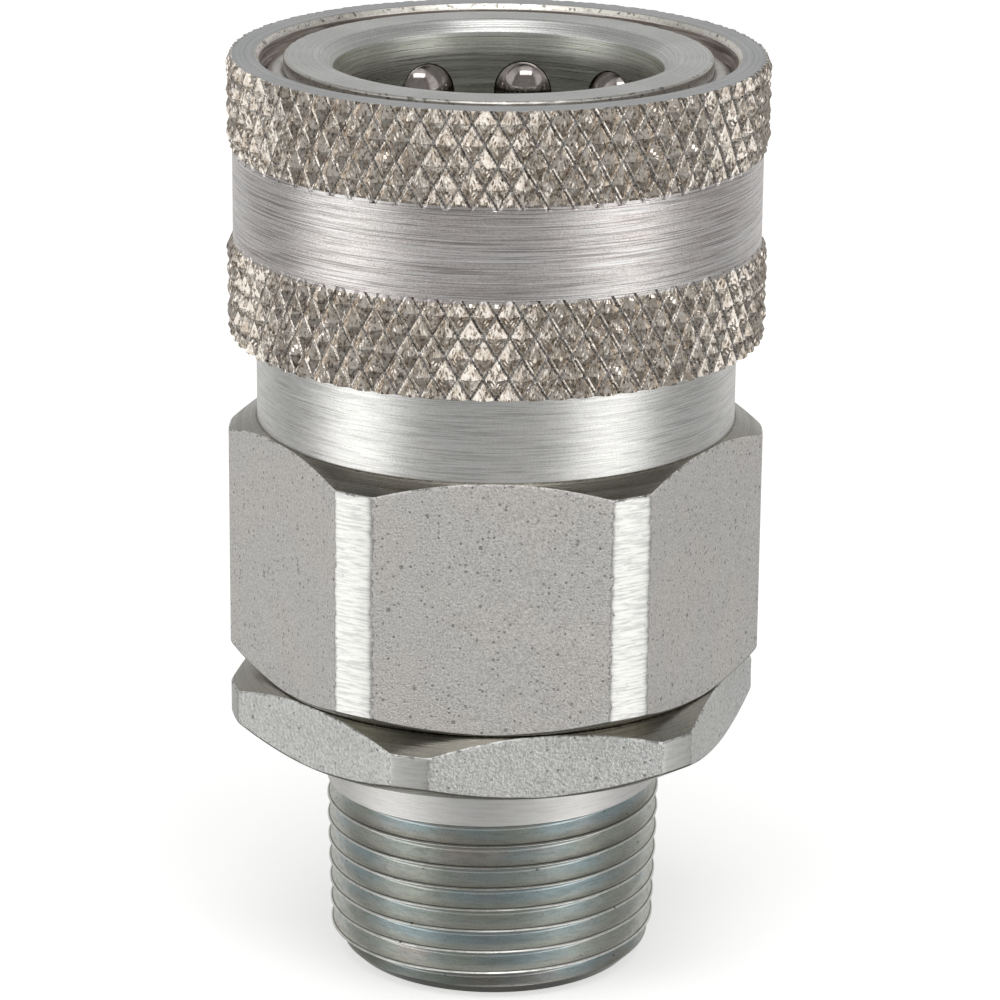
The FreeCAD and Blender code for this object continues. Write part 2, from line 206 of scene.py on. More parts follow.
# Outlines of the two knurled walls, as (radius, z) from the bottom up
LOWER_KNURL_OUTLINE = (
    (20.93, SLEEVE_BOTTOM), (21.08, SLEEVE_BOTTOM + 0.1), (LOWER_KNURL_R, SLEEVE_BOTTOM + 0.35),
    (LOWER_KNURL_R, LOWER_KNURL_TOP - 0.5), (20.95, LOWER_KNURL_TOP - 0.18), (BAND_R, LOWER_KNURL_TOP),
    (BAND_R, LOWER_KNURL_TOP + KNURL_TICK),
)
UPPER_KNURL_OUTLINE = (
    (BAND_R, UPPER_KNURL_BOTTOM - KNURL_TICK), (BAND_R, UPPER_KNURL_BOTTOM),
    (20.9, UPPER_KNURL_BOTTOM + 0.15), (UPPER_KNURL_R, UPPER_KNURL_BOTTOM + 0.5),
    (UPPER_KNURL_R, SLEEVE_TOP - 0.45), (20.83, SLEEVE_TOP),
)

# Wire parts
SNAP_RING_R = 17.15
SNAP_RING_WIRE_R = (snap_high.z - snap_low.z) / 2
SNAP_RING_Z = (snap_high.z + snap_low.z) / 2
SNAP_RING_GAP_AT = 118.0
SNAP_RING_GAP_ANGLE = 14.0
SNAP_GROOVE_CLEARANCE = 0.03
COIL_STEPS = 72
CLOSED_TURNS = 0.8
CLOSED_PITCH = 2.02  # of the end turns, in wire radii
GROUND_HEIGHT = 0.6  # of the wire's middle above its ground end, in wire radii
SLEEVE_SPRING = (17.85, 0.7, 3.5)  # coil radius, wire radius and turns
VALVE_SPRING = (5.6, 0.55, 4.6)


# ---- mesh helpers

class Shell:
    """A mesh grown ring by ring, in millimetres."""

    def __init__(self):
        self.points = []
        self.faces = []
        self.count = 0

    def add(self, points):
        """Adds an (n, 3) array of points and returns their numbers."""
        numbers = np.arange(self.count, self.count + len(points))
        self.points.append(np.asarray(points, float))
        self.count += len(points)
        return numbers

    def ring(self, radius, z, angles):
        """Adds a ring of points at the given radii, heights and angles."""
        turn = np.radians(angles)
        radius = np.broadcast_to(radius, turn.shape)
        height = np.broadcast_to(z, turn.shape)
        return self.add(np.column_stack((radius * np.sin(turn), -radius * np.cos(turn), height)))

    def face(self, finish, *corners):
        """Adds faces from columns of point numbers."""
        for numbers in np.column_stack(corners).tolist():
            self.faces.append((numbers, finish))

    def bridge(self, low, high, finish=0):
        """Joins two closed rings that have as many points."""
        self.face(finish, low, np.roll(low, -1), np.roll(high, -1), high)

    def join(self, low, low_angles, high, high_angles, finish=0):
        """Joins two closed rings that have different numbers of points."""
        start = low_angles[0]
        order = np.argsort((high_angles - start) % FULL_TURN)
        high = high[order]
        high_turn = ((high_angles - start) % FULL_TURN)[order]
        low_turn = (low_angles - start) % FULL_TURN
        low, high = np.append(low, low[0]), np.append(high, high[0])
        low_turn = np.append(low_turn, FULL_TURN)
        high_turn = np.append(high_turn, FULL_TURN + high_turn[0])
        i = j = 0
        while i < len(low) - 1 or j < len(high) - 1:
            low_is_next = j == len(high) - 1 or (i < len(low) - 1 and low_turn[i + 1] <= high_turn[j + 1])
            if low_is_next:
                self.faces.append(([low[i], low[i + 1], high[j]], finish))
                i += 1
            else:
                self.faces.append(([low[i], high[j + 1], high[j]], finish))
                j += 1

    def piece(self, name, node, body, slot, finishes, sharp=35.0, weighted=True):
        """Makes the Blender object that stands for a CAD node."""
        mesh = bpy.data.meshes.new(name)
        mesh.from_pydata((np.vstack(self.points) * MM).tolist(), [], [numbers for numbers, _ in self.faces])
        mesh.polygons.foreach_set("material_index", [finish for _, finish in self.faces])
        for finish in finishes:
            mesh.materials.append(finish)
        clean(mesh)
        mesh.shade_smooth()
        mesh.set_sharp_from_angle(angle=math.radians(sharp))
        piece = bpy.data.objects.new(name, mesh)
        bpy.context.scene.collection.objects.link(piece)
        if weighted:
            modifier = piece.modifiers.new("weighted_normals", "WEIGHTED_NORMAL")
            modifier.keep_sharp = True
        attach(piece, body)
        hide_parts(node)
        return piece


def clean(mesh):
    """Merges points that meet and takes away faces without area."""
    work = bmesh.new()
    work.from_mesh(mesh)
    bmesh.ops.remove_doubles(work, verts=work.verts, dist=1e-4 * MM)
    bmesh.ops.dissolve_degenerate(work, edges=work.edges, dist=1e-5 * MM)
    work.to_mesh(mesh)
    work.free()
    mesh.update()


def bend(before, here, after, rounding):
    """Start and end of the rounded edge at a corner between two others."""
    arriving, leaving = here - before, after - here
    arriving_length = np.maximum(np.hypot(*arriving), TINY)
    leaving_length = np.maximum(np.hypot(*leaving), TINY)
    reach = np.minimum(rounding, 0.45 * np.minimum(arriving_length, leaving_length))
    return here - arriving / arriving_length * reach, here + leaving / leaving_length * reach


def rounded_rows(corners, columns):
    """Rows of a wall that follows the corners with rounded edges, as (radius, z, finish).

    A corner is (radius, z, rounding, steps, finish); the last two say how the stretch after it is divided.
    """
    places = np.array([[np.broadcast_to(part, columns) for part in corner[:2]] for corner in corners], float)
    rows = [(*places[0], 0)]
    leave = places[0]
    for i in range(1, len(corners)):
        _, _, _, steps, finish = corners[i - 1]
        rounding = corners[i][2] if i < len(corners) - 1 else 0
        arrive = depart = places[i]
        if rounding:
            arrive, depart = bend(places[i - 1], places[i], places[i + 1], rounding)
        for step in range(1, steps + 1):
            rows.append((*(leave + (arrive - leave) * step / steps), finish))
        for t in (0.25, 0.5, 0.75, 1.0) if rounding else ():
            place = arrive * (1 - t) ** 2 + places[i] * 2 * t * (1 - t) + depart * t * t
            rows.append((*place, finish))
        leave = depart
    return rows


def wall(shell, corners, angles, change=None):
    """Adds a wall that follows the corners and returns its first and last rings."""
    rows = rounded_rows(corners, len(angles))
    rings = []
    for radius, z, _ in rows:
        if change:
            radius, z = change(radius, z, angles)
        rings.append(shell.ring(radius, z, angles))
    for low, high, row in zip(rings, rings[1:], rows[1:]):
        shell.bridge(low, high, row[2])
    return rings[0], rings[-1]


def soft_min(first, second, blend):
    """Smaller of two values, with a rounded change between them."""
    return (first + second - np.sqrt((first - second) ** 2 + blend ** 2)) / 2


def wobble(angles, z, seed, size):
    """Smooth irregular ripple between about -1 and 1, of the given size in millimetres."""
    random = np.random.default_rng(seed)
    total = 0
    for _ in range(6):
        turns = random.integers(3, 40)
        rise = random.uniform(-1, 1) * math.tau / size
        total = total + np.sin(np.radians(angles) * turns + z * rise + random.uniform(0, math.tau))
    return total / 3


# ---- hexagons

FLAT, CONE, NECK, NOSE, SOCKET = range(5)


def hexagon_angles(corner_angle, corner_r):
    """Columns round a hexagon, close together at the edges of its turned corners."""
    crease = math.degrees(math.acos(FLAT_R / corner_r))
    near = [crease + step for step in CREASE_STEPS]
    flat = list(np.arange(0, crease - 2, 2.0))
    half = np.array(sorted(flat + near + [(near[-1] + 30) / 2, 30]))
    side = np.concatenate((-half[1:-1][::-1], half))
    angles = [corner_angle + 30 + 60 * i + side for i in range(6)]
    return np.sort(np.concatenate(angles) % FULL_TURN)


def hexagon_radius(angles, corner_angle, corner_r):
    """Radius of a hexagon whose corners are turned round."""
    off = (angles - corner_angle) % 60 - 30
    return soft_min(FLAT_R / np.cos(np.radians(off)), corner_r + CORNER_LOSS, CORNER_BLEND)


def ragged_corners(corner_angle, corner_r, seed):
    """Change that makes the edges of the turned corners slightly ragged."""
    crease = math.degrees(math.acos(FLAT_R / corner_r))

    def change(radius, z, angles):
        off = np.abs((angles - corner_angle) % 60 - 30)
        near = np.exp(-((off - crease) / CORNER_RAG_WIDTH) ** 2) * (radius > FLAT_R)
        return radius - near * CORNER_RAG * np.abs(wobble(angles, z, seed, CORNER_RAG_SIZE)), z

    return change


def hexagon_wall(shell, corner_angle, corner_r, bottom, top, seed):
    """Adds a hexagon with its end faces, and returns its first ring, its last ring and their angles.

    Bottom and top are (inner radius, z, steps across the face).
    """
    angles = hexagon_angles(corner_angle, corner_r)
    radius = hexagon_radius(angles, corner_angle, corner_r)
    drop = (radius - CHAMFER_START_R) * CHAMFER_SLOPE
    rows = max(int((top[1] - bottom[1]) / HEX_ROW), 6)
    first, last = wall(shell, [
        (bottom[0], bottom[1], 0, bottom[2], CONE), (CHAMFER_START_R, bottom[1], HEX_EDGE, 3, CONE),
        (radius, bottom[1] + drop, HEX_EDGE, rows, FLAT), (radius, top[1] - drop, HEX_EDGE, 3, CONE),
        (CHAMFER_START_R, top[1], HEX_EDGE, top[2], CONE), (top[0], top[1], 0, 1, CONE),
    ], angles, ragged_corners(corner_angle, corner_r, seed))
    return first, last, angles


# ---- body

def cell_outline(z_low, z_high):
    """Outline of one ball's part of the wall, as (angle, z), anticlockwise seen from outside."""
    across = np.linspace(-BALL_STEP / 2, BALL_STEP / 2, CELL_COLUMNS + 1)
    up = np.linspace(z_low, z_high, CELL_ROWS + 1)
    angles = np.concatenate((
        across[:-1], np.full(CELL_ROWS, across[-1]), across[::-1][:-1], np.full(CELL_ROWS, across[0]),
    ))
    heights = np.concatenate((
        np.full(CELL_COLUMNS, z_low), up[:-1], np.full(CELL_COLUMNS, z_high), up[::-1][:-1],
    ))
    return angles, heights


def hole_loop(direction, reach, depth):
    """Loop round a ball's hole, as (angle, z, radius), at a reach from its axis and a depth along it."""
    aside = reach * np.cos(direction)
    return np.degrees(np.arctan2(aside, depth)), BALL_Z + reach * np.sin(direction), np.hypot(aside, depth)


def inner_reach(direction):
    """Reach at which the ball's spherical seat meets the socket's wall."""
    low = np.full(direction.shape, 0.5)
    high = np.full(direction.shape, BALL_SEAT_R)
    for _ in range(40):
        reach = (low + high) / 2
        depth = BALL_CENTRE_R - np.sqrt(BALL_SEAT_R ** 2 - reach ** 2)
        outside = np.hypot(depth, reach * np.cos(direction)) > SOCKET_WALL_R
        high = np.where(outside, reach, high)
        low = np.where(outside, low, reach)
    return (low + high) / 2


def wall_loops(outline, edge, radius, shares):
    """Loops on a round wall between a cell's outline and the edge of its hole."""
    loops = []
    for share in shares:
        angle = outline[0] * share + edge[0] * (1 - share)
        height = outline[1] * share + edge[1] * (1 - share)
        loops.append((angle, height, np.full(angle.shape, radius)))
    return loops


def ball_cell(shell, angle, finish):
    """Adds the wall round one ball's hole, outside and inside the nose, with the seat between them."""
    outside = cell_outline(*OUTER_CELL)
    direction = np.arctan2(outside[1] - BALL_Z, np.radians(outside[0]) * NOSE_R)
    outer_depth = np.sqrt(NOSE_R ** 2 - (BALL_SEAT_R * np.cos(direction)) ** 2)
    outer_edge = hole_loop(direction, BALL_SEAT_R, outer_depth)
    loops = wall_loops(outside, outer_edge, NOSE_R, CELL_SHARES)
    for share in (0, 0.1, 0.5, 1):
        loops.append(hole_loop(direction, BALL_SEAT_R, outer_depth * (1 - share) + BALL_CENTRE_R * share))
    least = inner_reach(direction)
    widest = np.arcsin(least / BALL_SEAT_R)
    for share in (0.75, 0.5, 0.25, 0.06, 0):
        lean = widest * (1 - share) + math.pi / 2 * share
        depth = BALL_CENTRE_R - BALL_SEAT_R * np.cos(lean)
        loops.append(hole_loop(direction, BALL_SEAT_R * np.sin(lean), depth))
    inner_edge = hole_loop(direction, least, BALL_CENTRE_R - np.sqrt(BALL_SEAT_R ** 2 - least ** 2))
    loops += wall_loops(cell_outline(*INNER_CELL), inner_edge, SOCKET_WALL_R, CELL_SHARES[::-1])
    rings = [shell.ring(radius, height, angle + aside) for aside, height, radius in loops]
    for low, high in zip(rings, rings[1:]):
        shell.bridge(low, high, finish)


def groove_corners(centre_r, centre_z, groove_r, wall_r):
    """Corners of a round-bottomed groove cut into a wall, from its lower to its upper edge."""
    half = math.asin((centre_r - wall_r) / groove_r)
    corners = []
    for turn in np.linspace(-math.pi / 2 + half, math.pi / 2 - half, 13):
        radius = centre_r - groove_r * math.cos(turn)
        corners.append((radius, centre_z + groove_r * math.sin(turn), 0, 1, NOSE))
    return corners


def worn_edge(radius, z, angles):
    """Small nicks along the outer edge of the nose's top face."""
    near = np.exp(-((radius - NOSE_R) ** 2 + (z - NOSE_TOP) ** 2) / NICK_REACH ** 2)
    nick = near * np.clip(wobble(angles * 3.0, z * 0, SEED + 4, 1.0) - 0.35, 0, 1)
    return radius - NICK_DEPTH * nick, z - NICK_DROP * nick


def make_socket(shell, angles):
    """Adds the wall of the socket, throat and valve chamber below the balls, and returns its last ring."""
    corners = (
        (SOCKET_WALL_R, INNER_CELL[0], 0, 1), (SOCKET_WALL_R, SEAL_GROOVE_TOP, 0.06, 3),
        (SEAL_GROOVE_R, SEAL_GROOVE_TOP, 0.2, 3), (SEAL_GROOVE_R, SEAL_GROOVE_BOTTOM, 0.2, 3),
        (SOCKET_WALL_R, SEAL_GROOVE_BOTTOM, 0.06, 2), (SOCKET_WALL_R, SOCKET_FLOOR, 0.2, 3),
        (THROAT_R, SOCKET_FLOOR, 0.15, 2), (THROAT_R, THROAT_BOTTOM, 0.05, 4),
        (CHAMBER_R, SEAT_BOTTOM, 0.2, 8), (CHAMBER_R, GUIDE_SHOULDER_Z, 0.1, 2),
        (PILOT_BORE_R, GUIDE_SHOULDER_Z, 0.1, 3), (PILOT_BORE_R, JOINT_BORE_TOP, 0.1, 1),
        (JOINT_BORE_R, JOINT_BORE_TOP, 0.1, 4), (JOINT_BORE_R, HEX_JOINT_Z + JOINT_CHAMFER, 0.1, 1),
        (JOINT_CHAMFER_R, HEX_JOINT_Z, 0, 1),
    )
    return wall(shell, [(*corner, SOCKET) for corner in corners], angles)[1]


def make_nose_top(shell, angles):
    """Adds the top of the nose above the balls: snap ring groove, worn edge, top face and chamfered mouth."""
    groove_r = SNAP_RING_WIRE_R + SNAP_GROOVE_CLEARANCE
    wall(shell, [
        (NOSE_R, OUTER_CELL[1], 0, 1, NOSE), *groove_corners(SNAP_RING_R, SNAP_RING_Z, groove_r, NOSE_R),
        (NOSE_R, NOSE_TOP - NOSE_EDGE, 0.05, 1, NOSE), (NOSE_R - NOSE_EDGE, NOSE_TOP, 0.05, 10, NOSE),
        (SOCKET_R + MOUTH_CHAMFER, NOSE_TOP, 0.1, 3, NOSE),
        (SOCKET_R, NOSE_TOP - MOUTH_CHAMFER, 0.08, 2, SOCKET),
        (SOCKET_R - ENTRY_TAPER, ENTRY_CONE_Z, 0.2, 1, SOCKET),
        (SOCKET_WALL_R, INNER_CELL[1], 0, 1, SOCKET),
    ], angles, worn_edge)


def make_body(finishes):
    """Hexagonal body with its neck, socket nose and ball holes."""
    shell = Shell()
    columns = np.arange(BALL_COUNT * CELL_COLUMNS) * BALL_STEP / CELL_COLUMNS
    round_angles = np.sort((BALL_FIRST_ANGLE - BALL_STEP / 2 + columns) % FULL_TURN)
    hex_first, hex_last, hex_angles = hexagon_wall(
        shell, BODY_CORNER_ANGLE, BODY_CORNER_R, (BODY_FACE_R, HEX_JOINT_Z, 1),
        (NECK_FOOT_R, BODY_HEX_TOP, 1), SEED,
    )
    neck_first, _ = wall(shell, [
        (NECK_R, BODY_HEX_TOP, 0, 24, NECK), (NECK_R, NECK_TOP - NECK_EDGE, 0.15, 1, NECK),
        (NECK_R - NECK_EDGE, NECK_TOP, 0.15, 2, NECK), (NOSE_R, NECK_TOP, 0, 6, NOSE),
        (NOSE_R, OUTER_CELL[0], 0, 1, NOSE),
    ], round_angles)
    make_nose_top(shell, round_angles)
    inside_last = make_socket(shell, round_angles)
    shell.join(hex_last, hex_angles, neck_first, round_angles, CONE)
    shell.join(inside_last, round_angles, hex_first, hex_angles, CONE)
    for i in range(BALL_COUNT):
        ball_cell(shell, BALL_FIRST_ANGLE + BALL_STEP * i, SOCKET)
    return shell.piece("hexagonal_body", "body", "coupler_body", "body_steel", finishes)


# ---- adapter

def groove_height(angles):
    """Height of one turn of the thread's groove."""
    return PIPE_FRONT_CREST_Z + PIPE_PITCH * (angles / FULL_TURN + 0.5)


def groove_depth(off):
    """Depth of the thread's groove at a height above its middle, with a bevel on the crest below it."""
    half_root = (PIPE_PITCH - PIPE_ROOT_FLAT) / 2
    bevel_low, bevel_high = PIPE_CREST_BEVEL
    above_crest = np.interp(
        PIPE_PITCH / 2 + off,
        (bevel_low, bevel_high, half_root), (0, bevel_high - bevel_low, PIPE_THREAD_DEPTH),
    )
    below_crest = np.interp(PIPE_PITCH / 2 - off, (PIPE_CREST_LOW, half_root), (0, PIPE_THREAD_DEPTH))
    return np.minimum(above_crest, below_crest)


def thread_radius(angles, z):
    """Radius of the tapered pipe thread, with its groove running out at the top and the lead-in chamfer."""
    crest = soft_min(PIPE_CREST_R + PIPE_TAPER * z, PIPE_SHANK_R + SHANK_STEP, SHANK_STEP)
    off = (z - groove_height(angles) + PIPE_PITCH / 2) % PIPE_PITCH - PIPE_PITCH / 2
    fade_low, fade_high = PIPE_GROOVE_FADE
    fade = np.clip((fade_high - (z - off)) / (fade_high - fade_low), 0, 1)
    threaded = crest - np.maximum(groove_depth(off) - PIPE_THREAD_DEPTH * (1 - fade), 0)
    chamfer = PIPE_NOSE_R + (PIPE_CREST_R - PIPE_NOSE_R) / PIPE_NOSE_HEIGHT * z
    return np.minimum(threaded, chamfer)


def thread_rows():
    """Heights of the thread's rows, which follow each crest, bevel, flank and root."""
    root_low, root_high = (PIPE_PITCH - PIPE_ROOT_FLAT) / 2, (PIPE_PITCH + PIPE_ROOT_FLAT) / 2
    turn = np.concatenate((
        [PIPE_CREST_BEVEL[0]], np.linspace(PIPE_CREST_BEVEL[1], root_low, ROWS_PER_FLANK),
        np.linspace(root_high, PIPE_PITCH - PIPE_CREST_LOW, ROWS_PER_FLANK),
    ))
    turns = int(PIPE_THREAD_TOP / PIPE_PITCH) + 3
    first_crest = PIPE_FRONT_CREST_Z % PIPE_PITCH - 2 * PIPE_PITCH
    return np.concatenate([first_crest + PIPE_PITCH * i + turn for i in range(turns)])


def thread_wall(shell, finish, finish_plain):
    """Adds the threaded wall as a grid that climbs with the thread, and returns its columns."""
    columns = np.arange(THREAD_COLUMNS + 1) / THREAD_COLUMNS * FULL_TURN
    rows = thread_rows()
    rings = []
    for row in rows:
        z = np.clip(row + columns / FULL_TURN * PIPE_PITCH, 0, PIPE_THREAD_TOP)
        rings.append(shell.ring(thread_radius(columns, z), z, columns))
    fade_low, fade_high = PIPE_GROOVE_FADE
    last_groove = fade_high - (fade_high - groove_height(columns[:-1])) % PIPE_PITCH
    running_out = np.clip((last_groove - fade_low) / (fade_high - fade_low), 0, 1)
    for row, low, high in zip(rows, rings, rings[1:]):
        z = row + (columns[:-1] + columns[1]) / FULL_TURN * PIPE_PITCH
        plain = z > last_groove + PIPE_PITCH * (0.5 - running_out)
        for part, kind in ((plain, finish_plain), (~plain, finish)):
            shell.face(kind, low[:-1][part], low[1:][part], high[1:][part], high[:-1][part])
    return columns[:-1]


THREAD, SHANK, BORE = 2, 3, 4


def make_spigot_and_bore(shell, angles):
    """Adds the spigot above the hexagon and the flow bore through it, and returns the wall's first ring."""
    seal_low, seal_high = ADAPTER_SEAL_GROOVE
    corners = (
        (SPIGOT_FOOT_R, HEX_JOINT_Z, 0, 1), (SPIGOT_RELIEF_R, HEX_JOINT_Z, 0.1, 2),
        (SPIGOT_RELIEF_R, SPIGOT_RELIEF_TOP, 0.1, 1), (SPIGOT_THREAD_R, SPIGOT_RELIEF_TOP, 0.3, 4),
        (SPIGOT_THREAD_R, SPIGOT_THREAD_TOP, 0.3, 1), (PILOT_R, SPIGOT_THREAD_TOP, 0.1, 1),
        (PILOT_R, seal_low, 0.1, 1), (ADAPTER_SEAL_GROOVE_R, seal_low, 0.1, 1),
        (ADAPTER_SEAL_GROOVE_R, seal_high, 0.1, 1), (PILOT_R, seal_high, 0.1, 1),
        (PILOT_R, PILOT_TOP, 0.2, 3), (FLOW_FLARE_R, PILOT_TOP, 0.15, 2),
        (FLOW_BORE_R, PILOT_TOP - (FLOW_FLARE_R - FLOW_BORE_R), 0.3, 12), (FLOW_BORE_R, FLOW_EDGE, 0.1, 1),
        (FLOW_BORE_R + FLOW_EDGE, 0, 0.1, 3), (PIPE_NOSE_R, 0, 0, 1),
    )
    return wall(shell, [(*corner, BORE) for corner in corners], angles)[0]


def make_adapter(finishes):
    """Adapter with the tapered thread, the lower hexagon, the spigot and the flow bore."""
    shell = Shell()
    round_angles = thread_wall(shell, THREAD, SHANK)
    _, shank_last = wall(shell, [
        (PIPE_SHANK_R + SHANK_STEP, PIPE_THREAD_TOP, 0, 8, SHANK),
        (PIPE_SHANK_R, ADAPTER_HEX_BOTTOM, 0.12, 3, CONE),
        (SHANK_FACE_R, ADAPTER_HEX_BOTTOM, 0, 1, CONE),
    ], round_angles)
    hex_first, hex_last, hex_angles = hexagon_wall(
        shell, ADAPTER_CORNER_ANGLE, ADAPTER_CORNER_R, (ADAPTER_FACE_R, ADAPTER_HEX_BOTTOM, 2),
        (SPIGOT_FACE_R, HEX_JOINT_Z, 1), SEED + 1,
    )
    shell.join(shank_last, round_angles, hex_first, hex_angles, CONE)
    spigot_first = make_spigot_and_bore(shell, round_angles)
    shell.join(hex_last, hex_angles, spigot_first, round_angles, CONE)
    return shell.piece("threaded_adapter", "adapter", "coupler_body", "adapter_steel", finishes)


# ---- sleeve

def knurl_offsets(columns, row):
    """Signed grid steps from the nearest groove that rises to the right, and from the nearest that falls."""
    rising = (columns - row + HALF_DIAMOND) % GRID_PER_DIAMOND - HALF_DIAMOND
    falling = (columns + row + HALF_DIAMOND) % GRID_PER_DIAMOND - HALF_DIAMOND
    return rising, falling


def knurl_depth(columns, row, tilts):
    """Depth of the knurl below its crests: uneven pyramids, with a burr along one groove."""
    rising, falling = knurl_offsets(columns, row)
    height = np.interp(np.minimum(np.abs(rising), np.abs(falling)), KNURL_DISTANCES, KNURL_HEIGHTS)
    across = (columns - row) // GRID_PER_DIAMOND % DIAMONDS_ROUND
    up = (columns + row) // GRID_PER_DIAMOND % DIAMONDS_ROUND
    low, lean_a, lean_b = tilts[:, across, up]
    tilt = (1 + low + lean_a * rising / HALF_DIAMOND + lean_b * falling / HALF_DIAMOND) * KNURL_TILT
    burr = KNURL_BURR * (falling == 1) * (np.abs(rising) > 1)
    return KNURL_DEPTH * (1 - height) + np.maximum(tilt, 0) - burr


def knurl_faces(columns, row, plain):
    """Finish of each grid cell of a row of the knurl, and whether its diagonal rises to the right."""
    rising, falling = knurl_offsets(columns + 0.5, row + 0.5)
    kinds = np.full(len(columns), BAND if plain else KNURL)
    kinds[np.abs(falling) < 1] = GROOVE
    if not plain:
        kinds[np.abs(falling - 1) < 1] = BURR
        kinds[np.abs(rising) < 1] = GROOVE
    return kinds, np.abs(rising) < np.abs(falling)


def knurl_row(columns, row, limit, crest_r, tilts, random):
    """Radii of one row of a knurled wall, inside the limit that the wall's outline sets."""
    rising, falling = knurl_offsets(columns, row)
    chipped = (np.abs(rising) > 1) & (falling != 0) & (falling != 1)
    chip = random.uniform(0, 1, KNURL_COLUMNS) ** 2 * KNURL_CHIP * chipped
    radius = np.minimum(limit, crest_r - knurl_depth(columns, row, tilts) - chip)
    return radius - np.clip((crest_r - limit) / KNURL_RUNOUT, 0, 1) * KNURL_SCRATCH * (falling == 0)


def knurl_wall(shell, outline, crest_r, seed):
    """Adds a knurled wall inside an outline of (radius, z) points, and returns its end rings and angles."""
    random = np.random.default_rng(seed)
    outline_r, outline_z = np.array(outline).T
    bottom, top = outline_z[0], outline_z[-1]
    count = int(round((top - bottom) / KNURL_ROW))
    columns = np.arange(KNURL_COLUMNS)
    angles = columns / KNURL_COLUMNS * FULL_TURN
    tilts = random.uniform(-1, 1, (3, DIAMONDS_ROUND, DIAMONDS_ROUND))
    heights = [bottom + (top - bottom) * row / count for row in range(count + 1)]
    limits = np.interp(heights, outline_z, outline_r)
    rings = []
    for row, (z, limit) in enumerate(zip(heights, limits)):
        rings.append(shell.ring(knurl_row(columns, row, limit, crest_r, tilts, random), z, angles))
    for row, (low, high) in enumerate(zip(rings, rings[1:])):
        kinds, rises = knurl_faces(columns, row, max(limits[row], limits[row + 1]) < KNURL_ROOT_R)
        right_low, right_high = np.roll(low, -1), np.roll(high, -1)
        for kind in np.unique(kinds):
            up, down = (kinds == kind) & rises, (kinds == kind) & ~rises
            shell.face(kind, low[up], right_low[up], right_high[up])
            shell.face(kind, low[up], right_high[up], high[up])
            shell.face(kind, low[down], right_low[down], high[down])
            shell.face(kind, right_low[down], right_high[down], high[down])
    return rings[0], rings[-1], angles


KNURL, GROOVE, BURR, BAND, RIM, EDGE, INSIDE = range(7)


def make_sleeve(finishes):
    """Knurled sleeve with its plain band, top ring, cam cone and spring pocket."""
    shell = Shell()
    plain_angles = np.arange(PLAIN_COLUMNS) / PLAIN_COLUMNS * FULL_TURN
    lower_first, lower_last, knurl_angles = knurl_wall(shell, LOWER_KNURL_OUTLINE, LOWER_KNURL_R, SEED + 2)
    upper_first, upper_last, _ = knurl_wall(shell, UPPER_KNURL_OUTLINE, UPPER_KNURL_R, SEED + 3)
    band_first, band_last = wall(shell, [
        (BAND_R, LOWER_KNURL_TOP + KNURL_TICK + KNURL_GAP, 0, 18, BAND),
        (BAND_R, UPPER_KNURL_BOTTOM - KNURL_TICK - KNURL_GAP, 0, 1, BAND),
    ], plain_angles)
    cone_top = SLEEVE_LAND_TOP + (SLEEVE_MOUTH_R - SLEEVE_LAND_R) / CAM_SLOPE
    inside_first, inside_last = wall(shell, [
        (RIM_R, SLEEVE_TOP, 0, 4, RIM), (SLEEVE_MOUTH_R + MOUTH_EDGE, SLEEVE_TOP, 0.05, 3, EDGE),
        (SLEEVE_MOUTH_R, SLEEVE_TOP - MOUTH_EDGE * 1.3, 0.05, 1, INSIDE),
        (SLEEVE_MOUTH_R, cone_top, 0.1, 8, INSIDE), (SLEEVE_LAND_R, SLEEVE_LAND_TOP, 0.1, 2, INSIDE),
        (SLEEVE_LAND_R, SLEEVE_LAND_BOTTOM, 0.15, 2, INSIDE),
        (SLEEVE_SKIRT_R, SLEEVE_LAND_BOTTOM, 0.2, 10, INSIDE),
        (SLEEVE_SKIRT_R, SLEEVE_BOTTOM, 0.15, 3, INSIDE), (SKIRT_EDGE_R, SLEEVE_BOTTOM, 0, 1, INSIDE),
    ], plain_angles)
    shell.join(lower_last, knurl_angles, band_first, plain_angles, BAND)
    shell.join(band_last, plain_angles, upper_first, knurl_angles, BAND)
    shell.join(upper_last, knurl_angles, inside_first, plain_angles, RIM)
    shell.join(inside_last, plain_angles, lower_first, knurl_angles, INSIDE)
    return shell.piece(
        "knurled_sleeve", "sleeve", "sleeve", "sleeve_steel", finishes, sharp=9, weighted=False,
    )


# ---- wire parts

def wire(name, node, body, slot, finish, path, wire_r, floor=-math.inf, ceiling=math.inf):
    """Round wire along a path of (radius, angle, z) arrays; domed ends, ground flat at floor and ceiling."""
    shell = Shell()
    radius, angle, z = path
    turn = np.linspace(0, FULL_TURN, 24, endpoint=False)
    ends = np.sin(np.linspace(0, math.pi / 2, 5))[1:-1]
    sizes = np.concatenate((ends, np.ones(len(radius) - 2 * len(ends)), ends[::-1]))
    loops = []
    for r, a, height, size in zip(radius, angle, z, sizes):
        out = r + wire_r * size * np.cos(np.radians(turn))
        up = np.clip(height + wire_r * size * np.sin(np.radians(turn)), floor, ceiling)
        loops.append(shell.ring(out, up, np.full(turn.shape, a)))
    for low, high in zip(loops, loops[1:]):
        shell.bridge(high, low)
    for end, loop in ((0, loops[0]), (-1, loops[-1])):
        middle = shell.ring(radius[[end]], np.clip(z[[end]], floor, ceiling), angle[[end]])
        centre = np.repeat(middle, len(loop))
        after = np.roll(loop, -1)
        first, second = (after, loop) if end else (loop, after)
        shell.face(0, first, second, centre)
    return shell.piece(name, node, body, slot, [finish], sharp=50, weighted=False)


